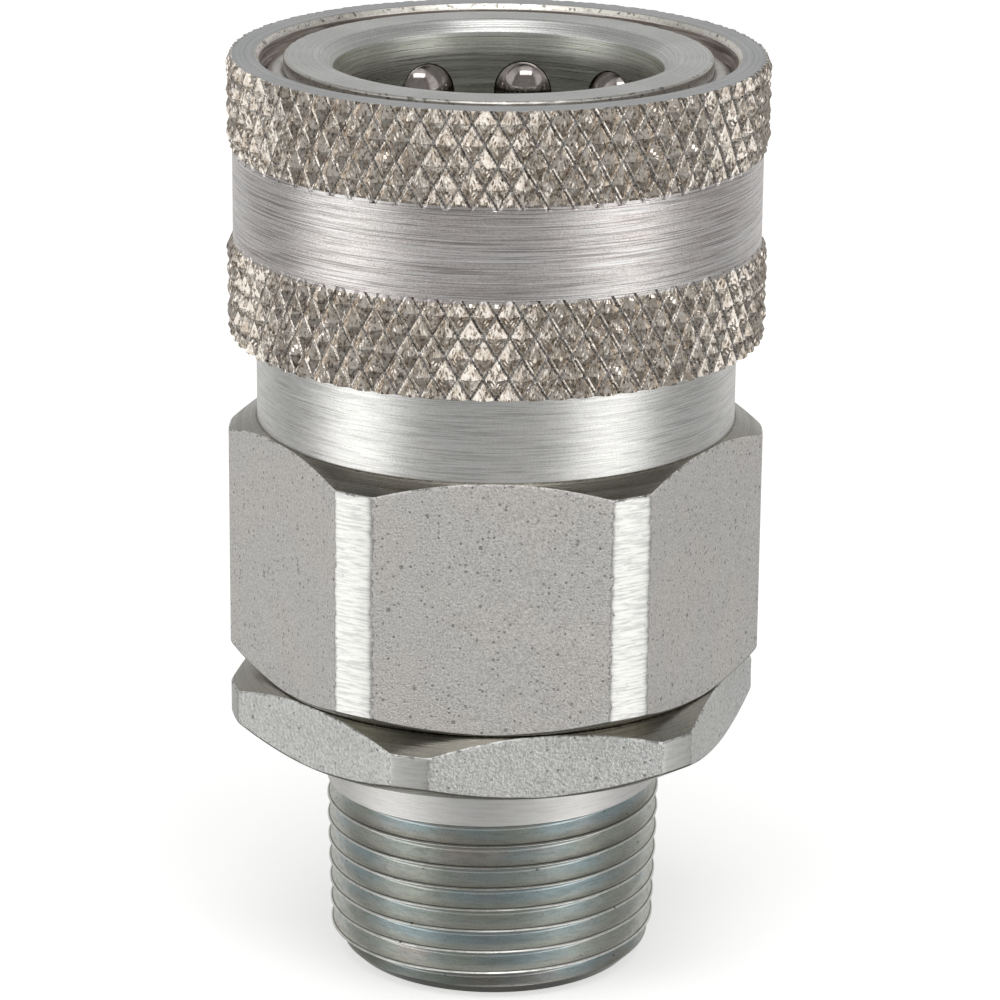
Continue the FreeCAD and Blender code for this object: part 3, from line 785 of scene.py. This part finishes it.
def coil_path(centre_r, wire_r, turns, bottom, top):
    """Path of a compression spring whose end turns lie close together."""
    share = np.linspace(0, turns, int(turns * COIL_STEPS))
    start, end = bottom + wire_r * GROUND_HEIGHT, top - wire_r * GROUND_HEIGHT
    rise = CLOSED_PITCH * wire_r * CLOSED_TURNS
    z = np.interp(
        share, (0, CLOSED_TURNS, turns - CLOSED_TURNS, turns), (start, start + rise, end - rise, end),
    )
    padded = np.concatenate((np.full(4, z[0]), z, np.full(4, z[-1])))
    return np.full(share.shape, centre_r), share * FULL_TURN, np.convolve(padded, np.ones(9) / 9, "valid")


def make_snap_ring(finish):
    """Split round-wire ring that stops the sleeve's return."""
    half_gap = SNAP_RING_GAP_ANGLE / 2
    end_dome = math.degrees(SNAP_RING_WIRE_R / SNAP_RING_R) * 0.2
    first = SNAP_RING_GAP_AT + half_gap
    last = SNAP_RING_GAP_AT - half_gap + FULL_TURN
    run = np.linspace(first + 3 * end_dome, last - 3 * end_dome, 300)
    angle = np.concatenate((first + end_dome * np.arange(3), run, last - end_dome * np.arange(3)[::-1]))
    path = np.full(angle.shape, SNAP_RING_R), angle, np.full(angle.shape, SNAP_RING_Z)
    return wire(
        "snap_ring_wire", "sleeve_snap_ring", "sleeve_carrier", "ring_steel", finish, path, SNAP_RING_WIRE_R,
    )


def make_spring(name, node, body, finish, size):
    """Compression spring that fills the height of its CAD node; size is (coil radius, wire radius, turns)."""
    low, high = extent(node)
    path = coil_path(*size, low.z, high.z)
    return wire(name, node, body, "spring_steel", finish, path, size[1], low.z, high.z)


def make_springs(finish):
    """The sleeve's return spring and the valve's spring, each with a mesh of its own."""
    sleeve_coil = make_spring(
        "sleeve_return_spring", "sleeve_spring", "sleeve_carrier", finish, SLEEVE_SPRING,
    )
    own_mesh(sleeve_coil)
    valve_coil = make_spring("valve_coil", "valve_spring", "coupler_body", finish, VALVE_SPRING)
    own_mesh(valve_coil)


# ---- materials

class Nodes:
    """Builds a tree of shader nodes."""

    def __init__(self, tree):
        self.tree = tree
        tree.nodes.clear()

    def node(self, kind, inputs=None, **settings):
        """Adds a node and fills in its inputs, which are given by name or number."""
        made = self.tree.nodes.new(kind)
        for name, value in settings.items():
            setattr(made, name, value)
        for name, value in (inputs or {}).items():
            self.link(value, made.inputs[name])
        return made

    def link(self, source, target):
        """Links a socket, or sets a plain value."""
        if isinstance(source, bpy.types.NodeSocket):
            self.tree.links.new(source, target)
        else:
            target.default_value = source

    def math(self, operation, first, second=0.0):
        """Adds a maths node."""
        return self.node("ShaderNodeMath", {0: first, 1: second}, operation=operation).outputs[0]

    def vector(self, operation, first, second=(0, 0, 0), output="Vector"):
        """Adds a vector maths node."""
        made = self.node("ShaderNodeVectorMath", {0: first, 1: second}, operation=operation)
        return made.outputs[output]

    def upward(self, direction):
        """The Z part of a vector."""
        return self.node("ShaderNodeSeparateXYZ", {0: direction}).outputs["Z"]

    def ranged(self, value, low, high, to_low=0.0, to_high=1.0, smooth=False):
        """Maps a range of values to another."""
        inputs = {"Value": value, "From Min": low, "From Max": high, "To Min": to_low, "To Max": to_high}
        kind = "SMOOTHSTEP" if smooth else "LINEAR"
        return self.node("ShaderNodeMapRange", inputs, interpolation_type=kind).outputs["Result"]


class Finish(Nodes):
    """A material built from shader nodes, in object coordinates."""

    def __init__(self, name):
        self.material = bpy.data.materials.new(name)
        self.material.use_nodes = True
        super().__init__(self.material.node_tree)
        self.shader = self.node("ShaderNodeBsdfPrincipled")
        self.node("ShaderNodeOutputMaterial", {"Surface": self.shader.outputs["BSDF"]})
        self.place = self.node("ShaderNodeTexCoord").outputs["Object"]

    def stretched(self, scale=(1, 1, 1), turn=(0, 0, 0)):
        """Object coordinates in millimetres, scaled by axis."""
        scale = [value / MM for value in scale]
        turn = [math.radians(value) for value in turn]
        inputs = {"Vector": self.place, "Scale": scale, "Rotation": turn}
        return self.node("ShaderNodeMapping", inputs).outputs["Vector"]

    def noise(self, size, detail=3.0, rough=0.55, scale=(1, 1, 1), turn=(0, 0, 0)):
        """Noise whose features are about size millimetres, before the scale by axis."""
        place = self.stretched(scale, turn)
        inputs = {"Vector": place, "Scale": 1 / size, "Detail": detail, "Roughness": rough}
        return self.node("ShaderNodeTexNoise", inputs).outputs["Fac"]

    def cells(self, size):
        """Voronoi cells about size millimetres across, as (distance from the middle, random value)."""
        made = self.node("ShaderNodeTexVoronoi", {"Vector": self.stretched(), "Scale": 1 / size})
        split = self.node("ShaderNodeSeparateColor", {0: made.outputs["Color"]})
        return made.outputs["Distance"], split.outputs[0]

    def radius(self):
        """Distance from the Z axis in millimetres."""
        return self.vector("LENGTH", self.vector("MULTIPLY", self.place, (1 / MM, 1 / MM, 0)), output="Value")

    def height(self):
        """Height in millimetres."""
        return self.math("MULTIPLY", self.upward(self.place), 1 / MM)

    def mix(self, share, first, second):
        """Mixes two colours."""
        inputs = {"Factor": share}
        for colour, number in ((first, 6), (second, 7)):
            inputs[number] = (*colour, 1) if isinstance(colour, tuple) else colour
        return self.node("ShaderNodeMix", inputs, data_type="RGBA").outputs[2]

    def tone(self, colour, source, low, high, most, tint):
        """Lays a tint over a colour as the source goes from low to high; most is its share at high."""
        return self.mix(self.ranged(source, low, high, 0.0, most), colour, tint)

    def pits(self, size, radius, share):
        """Scattered round spots, 1 in the middle of a spot. Share is the part of the cells that have one."""
        distance, chance = self.cells(size)
        limit = self.ranged(chance, 1 - share, 1, 0, radius / size)
        inside = self.math("SUBTRACT", limit, distance)
        return self.ranged(inside, 0, 0.045 / size)

    def rings(self, size):
        """Turning marks on a face square to the axis: noise that depends on the radius."""
        wander = self.math("MULTIPLY", self.noise(6, 1), 0.12)
        inputs = {"W": self.math("ADD", self.radius(), wander), "Scale": 1 / size, "Detail": 3}
        return self.node("ShaderNodeTexNoise", inputs, noise_dimensions="1D").outputs["Fac"]

    def bumps(self, *layers):
        """Bump from (height, depth in millimetres) layers, which goes to the shader."""
        previous = {}
        for height, depth in layers:
            made = self.node("ShaderNodeBump", {"Height": height, "Distance": depth * MM, **previous})
            previous = {"Normal": made.outputs["Normal"]}
        self.link(previous["Normal"], self.shader.inputs["Normal"])

    def done(self, colour, roughness, metallic=1.0, edge_tint=(1, 1, 1)):
        """Fills in the shader and returns the material."""
        self.link(colour, self.shader.inputs["Base Color"])
        self.link(roughness, self.shader.inputs["Roughness"])
        self.link(metallic, self.shader.inputs["Metallic"])
        self.link((*edge_tint, 1), self.shader.inputs["Specular Tint"])
        return self.material


def dimmed(colour, share):
    """A share of a colour."""
    return tuple(share * value for value in colour)


def tinted(f, first, second, size):
    """Colour that drifts between two tints over the surface."""
    return f.mix(f.ranged(f.noise(size, 2), 0.35, 0.65, smooth=True), first, second)


def turned_corners(f, lines, light, lined):
    """Colour of a hexagon's turned corners, with fine lines round the axis."""
    dark = (light * 0.55, light * 0.56, light * 0.55)
    return f.tone((light, light, light * 0.97), lines, 0.45, 0.6, lined, dark)


def blasted_flats(name, light, dark, grain, pit_share, hexagon, corners=(0.88, 0.32, 0.6)):
    """Matt grained hexagon flats with small dark pits; the turned corners are smoother and finely lined.

    The hexagon is its corner radius and the heights of its ends, where the edges of the chamfers are nicked.
    The corners are their brightness, their roughness and the strength of their lines.
    """
    f = Finish(name)
    corner_r, bottom, top = hexagon
    corner_light, corner_rough, lined = corners
    fine = f.noise(grain, 3, 0.65)
    speck = f.noise(grain * 0.7, 2, 0.6, turn=(20, 30, 0))
    colour = f.tone(tinted(f, light, dark, 9), fine, 0.38, 0.62, 0.65, dimmed(light, 0.5))
    colour = f.tone(colour, speck, 0.48, 0.62, 0.6, (1.0, 1.0, 0.98))
    pitted = f.math("MAXIMUM", f.pits(0.42, 0.145, pit_share), f.pits(1.0, 0.2, pit_share * 0.65))
    radius = f.radius()
    edge = f.math("ADD", radius, f.ranged(f.noise(0.4, 3), 0.3, 0.7, -0.04, 0.04))
    corner = f.ranged(edge, corner_r - CORNER_PAINT[0], corner_r - CORNER_PAINT[1])
    blasted = f.math("SUBTRACT", 1.0, corner)
    pitted = f.math("MULTIPLY", pitted, blasted)
    colour = f.mix(f.math("MULTIPLY", pitted, 0.6), colour, (0.22, 0.21, 0.2))
    lines = f.noise(0.17, 3, 0.65, scale=(0.1, 0.1, 1), turn=(2.5, 3, 0))
    deep = f.noise(0.5, 3, 0.6, scale=(0.22, 0.22, 1), turn=(2, 2, 0))
    colour = f.mix(corner, colour, turned_corners(f, lines, corner_light, lined))
    colour = f.mix(chamfer_nicks(f, radius, bottom, top), colour, (0.07, 0.065, 0.06))
    flat_rough = f.ranged(fine, 0.2, 0.8, 0.46, 0.62)
    rough = f.node("ShaderNodeMix", {"Factor": corner, 2: flat_rough, 3: corner_rough}, data_type="FLOAT")
    f.bumps(
        (f.math("MULTIPLY", fine, blasted), 0.09), (f.math("MULTIPLY", speck, blasted), 0.06),
        (f.math("SUBTRACT", 1.0, pitted), 0.05),
        (f.math("MULTIPLY", lines, corner), 0.02), (f.math("MULTIPLY", deep, corner), 0.03),
    )
    return f.done(colour, rough.outputs[0])


def chamfer_nicks(f, radius, bottom, top):
    """Short dark nicks along the edges where a hexagon's flats meet its chamfers."""
    height = f.height()
    drop = f.math("MULTIPLY", f.math("SUBTRACT", radius, CHAMFER_START_R), CHAMFER_SLOPE)
    below_top = f.math("SUBTRACT", f.math("SUBTRACT", top, drop), height)
    above_bottom = f.math("SUBTRACT", f.math("SUBTRACT", height, drop), bottom)
    near = f.math("MINIMUM", below_top, above_bottom)
    near = f.math("ADD", near, f.ranged(f.noise(0.3, 2), 0.3, 0.7, -0.08, 0.08))
    return f.math("MULTIPLY", f.ranged(near, 0.04, 0.12, 0.6, 0), f.ranged(f.noise(1.1, 3, 0.7), 0.52, 0.6))


def turned_round(name, light, dark, line, length=30.0, contrast=0.6, rough=(0.26, 0.42)):
    """Turned cylindrical surface: fine broken lines round the axis, length times as long as they are wide."""
    f = Finish(name)
    along = 1 / length
    hair = f.noise(line, 2, 0.6, scale=(along, along, 1))
    scratch = f.noise(line * 1.3, 2, 0.6, scale=(along, along, 1), turn=(0, 0, 50))
    grain = f.noise(0.13, 2, 0.6)
    colour = f.tone(tinted(f, light, dark, 9), hair, 0.5, 0.6, contrast, dimmed(light, 0.38))
    colour = f.tone(colour, grain, 0.42, 0.64, contrast * 0.6, dimmed(dark, 0.5))
    colour = f.tone(colour, scratch, 0.54, 0.6, contrast, (1.0, 1.0, 1.0))
    f.bumps((scratch, 0.03 * contrast), (hair, 0.03 * contrast), (grain, 0.025 * contrast))
    return f.done(colour, f.ranged(scratch, 0.3, 0.7, *rough))


WORN_BRIGHT = (0.95, 0.92, 0.85)
# Second colour of the ragged ring: dark worn nicks, and on the cone painted shade at the foot of the neck.
WEAR_AND_SHADE_DARK = (0.16, 0.14, 0.12)


def turned_face(name, light, dark, line, rough=0.34, marked=0.5, wear_and_shade_r=None, worn=WORN_BRIGHT):
    """Turned face or cone: rings about the axis, with a ragged ring of marks at a given radius: worn nicks on
    the nose and the sleeve, and painted shade at the foot of the neck on the cone.
    """
    f = Finish(name)
    marks = f.rings(line)
    wide = f.rings(line * 4)
    grain = f.noise(0.13, 3, 0.7)
    colour = f.tone(tinted(f, light, dark, 5), marks, 0.4, 0.65, marked, dimmed(light, 0.55))
    colour = f.tone(colour, grain, 0.46, 0.66, 0.5, dimmed(dark, 0.55))
    # The ragged ring: worn nicks on the nose and the sleeve; on the cone, painted shade where the neck rises
    # from it.
    if wear_and_shade_r:
        ragged = f.noise(0.35, 3, 0.7)
        off = f.math("ABSOLUTE", f.math("SUBTRACT", f.radius(), wear_and_shade_r))
        near = f.ranged(f.math("ADD", off, f.ranged(ragged, 0.3, 0.7, -0.14, 0.14)), 0.05, 0.15, 1, 0)
        nick = f.ranged(f.noise(0.5, 2), 0.56, 0.64)
        colour = f.mix(f.math("MULTIPLY", near, 0.8), colour, f.mix(nick, worn, WEAR_AND_SHADE_DARK))
    f.bumps((wide, 0.04 * marked), (marks, 0.02 * marked), (grain, 0.012))
    return f.done(colour, f.ranged(wide, 0.3, 0.7, rough - 0.06, rough + 0.08))


def knurl_finish():
    """Knurled diamonds: glossy warm facets, lightly smeared, with a few brown specks and bright glints."""
    f = Finish("knurled_zinc")
    smear = f.noise(0.9, 2, 0.55)
    chip = f.noise(0.22, 2, 0.6, scale=(1, 1, 0.6))
    colour = f.tone((0.84, 0.77, 0.69), smear, 0.42, 0.6, 1.0, (0.6, 0.52, 0.435))
    colour = f.tone(colour, chip, 0.55, 0.63, 0.85, (0.15, 0.115, 0.09))
    colour = f.tone(colour, chip, 0.42, 0.35, 0.75, (1.0, 0.97, 0.92))
    f.bumps((smear, 0.05), (chip, 0.018))
    return f.done(colour, f.ranged(smear, 0.3, 0.7, 0.15, 0.24))


def grained(name, noise, light, limits, dark, depth, rough, **more):
    """Plain finish in which one noise moves the colour and the roughness and raises small bumps.

    The limits are the noise where the colour is light and dark, and the share of dark; rough is a range.
    """
    f = Finish(name)
    grain = f.noise(*noise)
    f.bumps((grain, depth))
    return f.done(f.tone(light, grain, *limits, dark), f.ranged(grain, *rough), **more)


def pressed_and_shaded_groove():
    """Grooves that the knurling wheels pressed: smoother and greyer, and painted darker as shade down in the
    grooves.
    """
    return grained(
        "pressed_and_shaded_groove", (0.2, 3, 0.65), (0.5, 0.475, 0.455), (0.42, 0.62, 1.0), (0.17, 0.155, 0.14),
        0.03, (0.3, 0.7, 0.26, 0.4),
    )


def raised_burr():
    """Bright burr along the edge of a groove."""
    return grained(
        "raised_burr", (0.3, 2, 0.6), (0.9, 0.87, 0.83), (0.46, 0.56, 1.0), (0.4, 0.37, 0.33),
        0.03, (0.3, 0.7, 0.2, 0.32),
    )


def thread_tints(f, depth):
    """Grey-green thread, bluish in the grooves and rosy in places."""
    long = (0.3, 0.3, 1)
    drift = f.ranged(f.noise(2.6, 1, 0.5, scale=long), 0.35, 0.65, 0.25, 1.0, smooth=True)
    bluish = f.math("MULTIPLY", f.ranged(depth, 0.3, 1.0, smooth=True), drift)
    rosy = f.ranged(f.noise(2.2, 1, 0.5, scale=long, turn=(0, 0, 40)), 0.56, 0.7, 0.0, 0.5, smooth=True)
    colour = f.mix(bluish, (0.77, 0.775, 0.715), (0.69, 0.765, 0.785))
    return f.mix(rosy, colour, (0.86, 0.76, 0.72))


def thread_marks_shade_and_highlights(f, colour, depth):
    """Painted shade as dark lines just below and just above each crest, a darker lead-in, painted highlights
    as broken bright lines on the crests, and dark nicks.
    """
    # Painted shade: dark on the downward flanks close below each crest, and a thin dark line just above each
    # crest's bevel.
    facing = f.upward(f.node("ShaderNodeNewGeometry").outputs["True Normal"])
    painted_flank_shade = f.math("MULTIPLY", f.ranged(facing, -0.1, -0.5), f.ranged(depth, 0.15, 0.45, 0.9, 0.0))
    painted_crest_edge_shade = f.math("MULTIPLY", f.ranged(depth, 0.1, 0.12, 0.0, 0.8), f.ranged(depth, 0.22, 0.16))
    colour = f.mix(f.math("MAXIMUM", painted_flank_shade, painted_crest_edge_shade), colour, (0.04, 0.045, 0.04))
    colour = f.tone(colour, f.height(), 1.9, 0.6, 0.6, (0.2, 0.2, 0.17))
    # Painted highlight: a broken bright line along each crest and its bevel.
    broken = f.ranged(f.noise(0.8, 3), 0.38, 0.56, 0.35, 1.0)
    crest = f.math("MULTIPLY", f.ranged(depth, 0.08, 0.1, 0.8, 0), broken)
    colour = f.mix(crest, colour, (1.0, 1.0, 0.97))
    return f.mix(f.math("MULTIPLY", f.pits(0.9, 0.16, 0.2), 0.8), colour, (0.1, 0.11, 0.1))


def thread_finish():
    """Rolled and plated thread: smooth tinted flanks with fine lines; the crests get painted highlight lines
    edged with painted shade.
    """
    f = Finish("plated_thread")
    taper = f.math("ADD", f.math("MULTIPLY", f.height(), PIPE_TAPER), PIPE_CREST_R)
    depth = f.math("SUBTRACT", f.math("MINIMUM", taper, PAINTED_CREST_R), f.radius())
    hair = f.noise(0.1, 3, 0.65, scale=(0.07, 0.07, 1))
    grain = f.noise(0.13, 2, 0.6)
    colour = f.tone(thread_tints(f, depth), hair, 0.48, 0.62, 0.25, (0.3, 0.32, 0.3))
    colour = f.tone(colour, grain, 0.52, 0.64, 0.25, (0.25, 0.26, 0.24))
    f.bumps((hair, 0.012), (grain, 0.012), (f.noise(0.6, 3, scale=(0.3, 0.3, 1)), 0.03))
    return f.done(thread_marks_shade_and_highlights(f, colour, depth), f.ranged(hair, 0.3, 0.7, 0.32, 0.42))


def polished_ball():
    """Hardened ball: polished steel with faint scuffs and a thin oil film."""
    return grained(
        "polished_ball_steel", (0.35, 4, 0.7), (0.34, 0.31, 0.3), (0.4, 0.75, 0.7), (0.2, 0.175, 0.16),
        0.004, (0.3, 0.75, 0.05, 0.12), edge_tint=(0.12, 0.11, 0.1),
    )


def drawn_wire():
    """Drawn spring wire with light scratches along it."""
    return grained(
        "drawn_wire", (0.12, 4, 0.7, (0.12, 0.12, 1)), (0.66, 0.63, 0.62), (0.35, 0.7, 0.6),
        (0.34, 0.32, 0.31), 0.012, (0.3, 0.7, 0.26, 0.42),
    )


def seal_rubber():
    """Black nitrile rubber with a dull bloom."""
    f = Finish("nitrile_rubber")
    bloom = f.noise(0.8, 4, 0.6)
    colour = f.tone((0.018, 0.018, 0.019), bloom, 0.4, 0.7, 1.0, (0.04, 0.04, 0.041))
    f.bumps((f.noise(0.1, 3), 0.008))
    return f.done(colour, f.ranged(bloom, 0.3, 0.7, 0.42, 0.58), 0.0)


def backup_plastic():
    """White fluoropolymer with turning marks."""
    f = Finish("white_fluoropolymer")
    marks = f.rings(0.1)
    colour = f.tone((0.82, 0.82, 0.79), marks, 0.3, 0.7, 1.0, (0.74, 0.74, 0.7))
    f.bumps((marks, 0.01))
    return f.done(colour, f.ranged(marks, 0.3, 0.7, 0.4, 0.5), 0.0)


def finish_cad_nodes(finishes):
    """Gives the CAD nodes that stay visible their material."""
    for node, finish in finishes.items():
        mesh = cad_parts[node].data
        mesh.materials.clear()
        mesh.materials.append(finish)
        mesh.shade_smooth()
        mesh.set_sharp_from_angle(angle=math.radians(30))


# ---- stage

BASE_LEVEL = 0.35
# Tall panels as (azimuth, outer half width, inner half width, brightness), with the front at 0 and +X at 90
PANELS = ((-69, 22, 16, 0.99), (56.5, 23, 10, 1.0), (180, 66, 24, 0.31))
# Fades of the panels by height, as (low, high, share at low, share at high): above, overhead and below
PANEL_FADES = ((-0.05, 0.3, 1, 0.75), (0.64, 0.98, 1, 0.34), (-0.8, -0.5, 0.12, 1))
# Patches as (elevation, outer half width, inner half width, brightness), from overhead to straight below
PATCHES = (
    (72, 23, 9, 0.85), (108, 30, 12, -0.3), (25, 38, 14, 0.08), (-64, 30, 12, 0.1), (-90, 62, 32, -0.23),
)

# Soft box, in metres and watts
SOFT_BOX_PLACE = (0, -0.49, 1.08)
SOFT_BOX_TARGET = (0, 0, 0.04)
SOFT_BOX_SIZE = (0.7, 0.28)
SOFT_BOX_POWER = 2.4

# Camera, in millimetres and degrees
CAMERA_PLACE = (0.13, -337.73, 146.08)
CAMERA_ANGLES = (18.86, 0.504, 0.0517, 1.0426)  # tilt, roll, and how far it aims right and up
CAMERA_LENS = 160.33


def make_camera():
    """Camera in front of the object, tilted down to it and aimed a little above its middle."""
    tilt, roll, aim_right, aim_up = [math.radians(angle) for angle in CAMERA_ANGLES]
    level_right = Vector((1, 0, 0))
    level_up = Vector((0, math.sin(tilt), math.cos(tilt)))
    right = level_right * math.cos(roll) + level_up * math.sin(roll)
    up = level_up * math.cos(roll) - level_right * math.sin(roll)
    forward = Vector((0, math.cos(tilt), -math.sin(tilt)))
    forward += right * math.tan(aim_right) + up * math.tan(aim_up)
    forward.normalize()
    right = forward.cross(up).normalized()
    up = right.cross(forward)
    data = bpy.data.cameras.new("camera")
    data.lens = CAMERA_LENS
    data.sensor_width = 36
    data.clip_start = 0.01
    data.clip_end = 50
    camera = bpy.data.objects.new("camera", data)
    axes = Matrix((right, up, -forward)).transposed()
    camera.matrix_world = Matrix.Translation(Vector(CAMERA_PLACE) * MM) @ axes.to_4x4()
    bpy.context.scene.collection.objects.link(camera)
    bpy.context.scene.camera = camera


def make_floor():
    """Wide pale floor, left out of reflections so that the steel shows the studio's soft panels."""
    bpy.ops.mesh.primitive_plane_add(size=8, location=(0, 0, -0.0002))
    floor = bpy.context.object
    floor.name = "floor"
    material = bpy.data.materials.new("pale_floor")
    material.use_nodes = True
    shader = material.node_tree.nodes["Principled BSDF"]
    shader.inputs["Base Color"].default_value = (0.9, 0.9, 0.9, 1)
    shader.inputs["Roughness"].default_value = 0.9
    shader.inputs["Emission Color"].default_value = (1, 1, 1, 1)
    shader.inputs["Emission Strength"].default_value = 0.5
    floor.data.materials.append(material)
    floor.visible_glossy = False


def patch(studio, direction, azimuth, elevation, wide, narrow, level):
    """Brightness of a soft patch of the surroundings; wide and narrow are its outer and inner half angles."""
    turn, rise, outer, inner = [math.radians(angle) for angle in (azimuth, elevation, wide, narrow)]
    toward = (math.sin(turn) * math.cos(rise), -math.cos(turn) * math.cos(rise), math.sin(rise))
    dot = studio.vector("DOT_PRODUCT", direction, toward, "Value")
    return studio.ranged(dot, math.cos(outer), math.cos(inner), 0, level, smooth=True)


def make_studio():
    """Surroundings: tall soft panels at the sides and the back, patches over and under, on an even grey."""
    world = bpy.data.worlds.new("studio")
    bpy.context.scene.world = world
    world.use_nodes = True
    studio = Nodes(world.node_tree)
    direction = studio.node("ShaderNodeTexCoord").outputs["Generated"]
    around = studio.vector("NORMALIZE", studio.vector("MULTIPLY", direction, (1, 1, 0)))
    height = studio.upward(direction)
    above, overhead, below = [studio.ranged(height, *fade, smooth=True) for fade in PANEL_FADES]
    fade = studio.math("MULTIPLY", studio.math("MULTIPLY", above, overhead), below)
    total = BASE_LEVEL
    for azimuth, *shape in PANELS:
        panel = studio.math("MULTIPLY", patch(studio, around, azimuth, 0, *shape), fade)
        total = studio.math("ADD", total, panel)
    for elevation, *shape in PATCHES:
        total = studio.math("ADD", total, patch(studio, direction, 0, elevation, *shape))
    background = studio.node("ShaderNodeBackground", {"Color": (1, 0.995, 0.985, 1), "Strength": total})
    studio.node("ShaderNodeOutputWorld", {"Surface": background.outputs[0]})


def make_soft_box():
    """Rectangular soft light overhead."""
    data = bpy.data.lights.new("overhead_box", "AREA")
    data.shape = "RECTANGLE"
    data.size, data.size_y = SOFT_BOX_SIZE
    data.energy = SOFT_BOX_POWER
    light = bpy.data.objects.new("overhead_box", data)
    light.location = SOFT_BOX_PLACE
    light.rotation_mode = "QUATERNION"
    light.rotation_quaternion = (Vector(SOFT_BOX_TARGET) - Vector(SOFT_BOX_PLACE)).to_track_quat("-Z", "Y")
    bpy.context.scene.collection.objects.link(light)


# ---- everything

make_camera()
make_floor()
make_studio()
make_soft_box()

neck_turning = turned_round("turned_neck", (0.99, 0.985, 0.96), (0.92, 0.925, 0.9), 0.08, 50, 0.45)
# The cone's dark ragged ring at the neck's radius is painted shade at the foot of the neck; it also lands at
# that radius on the hexagons' other end faces.
dull_cone = turned_face(
    "dull_cone", (0.43, 0.41, 0.36), (0.345, 0.34, 0.3), 0.12, 0.22, 0.3, NECK_R + 0.05, (0.16, 0.14, 0.11),
)
nose_face = turned_face(
    "turned_nose", (0.8, 0.81, 0.79), (0.68, 0.69, 0.67), 0.1, 0.34, 0.5, NOSE_R - 0.1, (0.6, 0.57, 0.52),
)
socket_wall = turned_round(
    "turned_socket", (0.84, 0.85, 0.77), (0.66, 0.67, 0.61), 0.1, 80, 0.4, (0.24, 0.36),
)
make_body([
    blasted_flats(
        "body_flats", (1.0, 0.955, 0.925), (0.95, 0.95, 0.92), 0.17, 0.95,
        (BODY_CORNER_R, HEX_JOINT_Z, BODY_HEX_TOP),
    ),
    dull_cone, neck_turning, nose_face, socket_wall,
])
make_adapter([
    blasted_flats(
        "adapter_flats", (1.0, 1.0, 0.975), (0.94, 0.96, 0.935), 0.27, 0.25,
        (ADAPTER_CORNER_R, ADAPTER_HEX_BOTTOM, HEX_JOINT_Z), (0.76, 0.5, 0.3),
    ),
    dull_cone, thread_finish(),
    turned_round("plain_shank", (1.0, 0.985, 0.97), (0.95, 0.95, 0.93), 0.12, 20, 0.15, (0.5, 0.6)),
    socket_wall,
])
make_sleeve([
    knurl_finish(), pressed_and_shaded_groove(), raised_burr(),
    turned_round("turned_band", (0.96, 0.89, 0.875), (0.86, 0.83, 0.81), 0.07, 110, 0.9, (0.24, 0.36)),
    turned_face("sleeve_rim", (0.57, 0.585, 0.585), (0.5, 0.515, 0.52), 0.1, 0.3, 0.4, 20.75),
    turned_face(
        "sleeve_mouth_edge", (0.96, 0.93, 0.86), (0.7, 0.65, 0.58), 0.1, 0.36, 0.3, SLEEVE_MOUTH_R + 0.2,
    ),
    turned_round("sleeve_inside", (0.7, 0.61, 0.57), (0.46, 0.4, 0.37), 0.1, 40, 0.5, (0.34, 0.5)),
])
wire_finish = drawn_wire()
make_snap_ring(wire_finish)
make_springs(wire_finish)
rubber = seal_rubber()
valve_steel = turned_round("turned_valve", (0.78, 0.77, 0.74), (0.66, 0.66, 0.63), 0.09)
ball_steel = polished_ball()
finish_cad_nodes({
    "adapter_oring": rubber, "interface_oring": rubber, "poppet_oring": rubber,
    "interface_backup_ring": backup_plastic(), "poppet": valve_steel, "valve_guide": valve_steel,
    **{f"ball_{i + 1:02d}": ball_steel for i in range(BALL_COUNT)},
})
bpy.context.scene.view_settings.view_transform = "Standard"
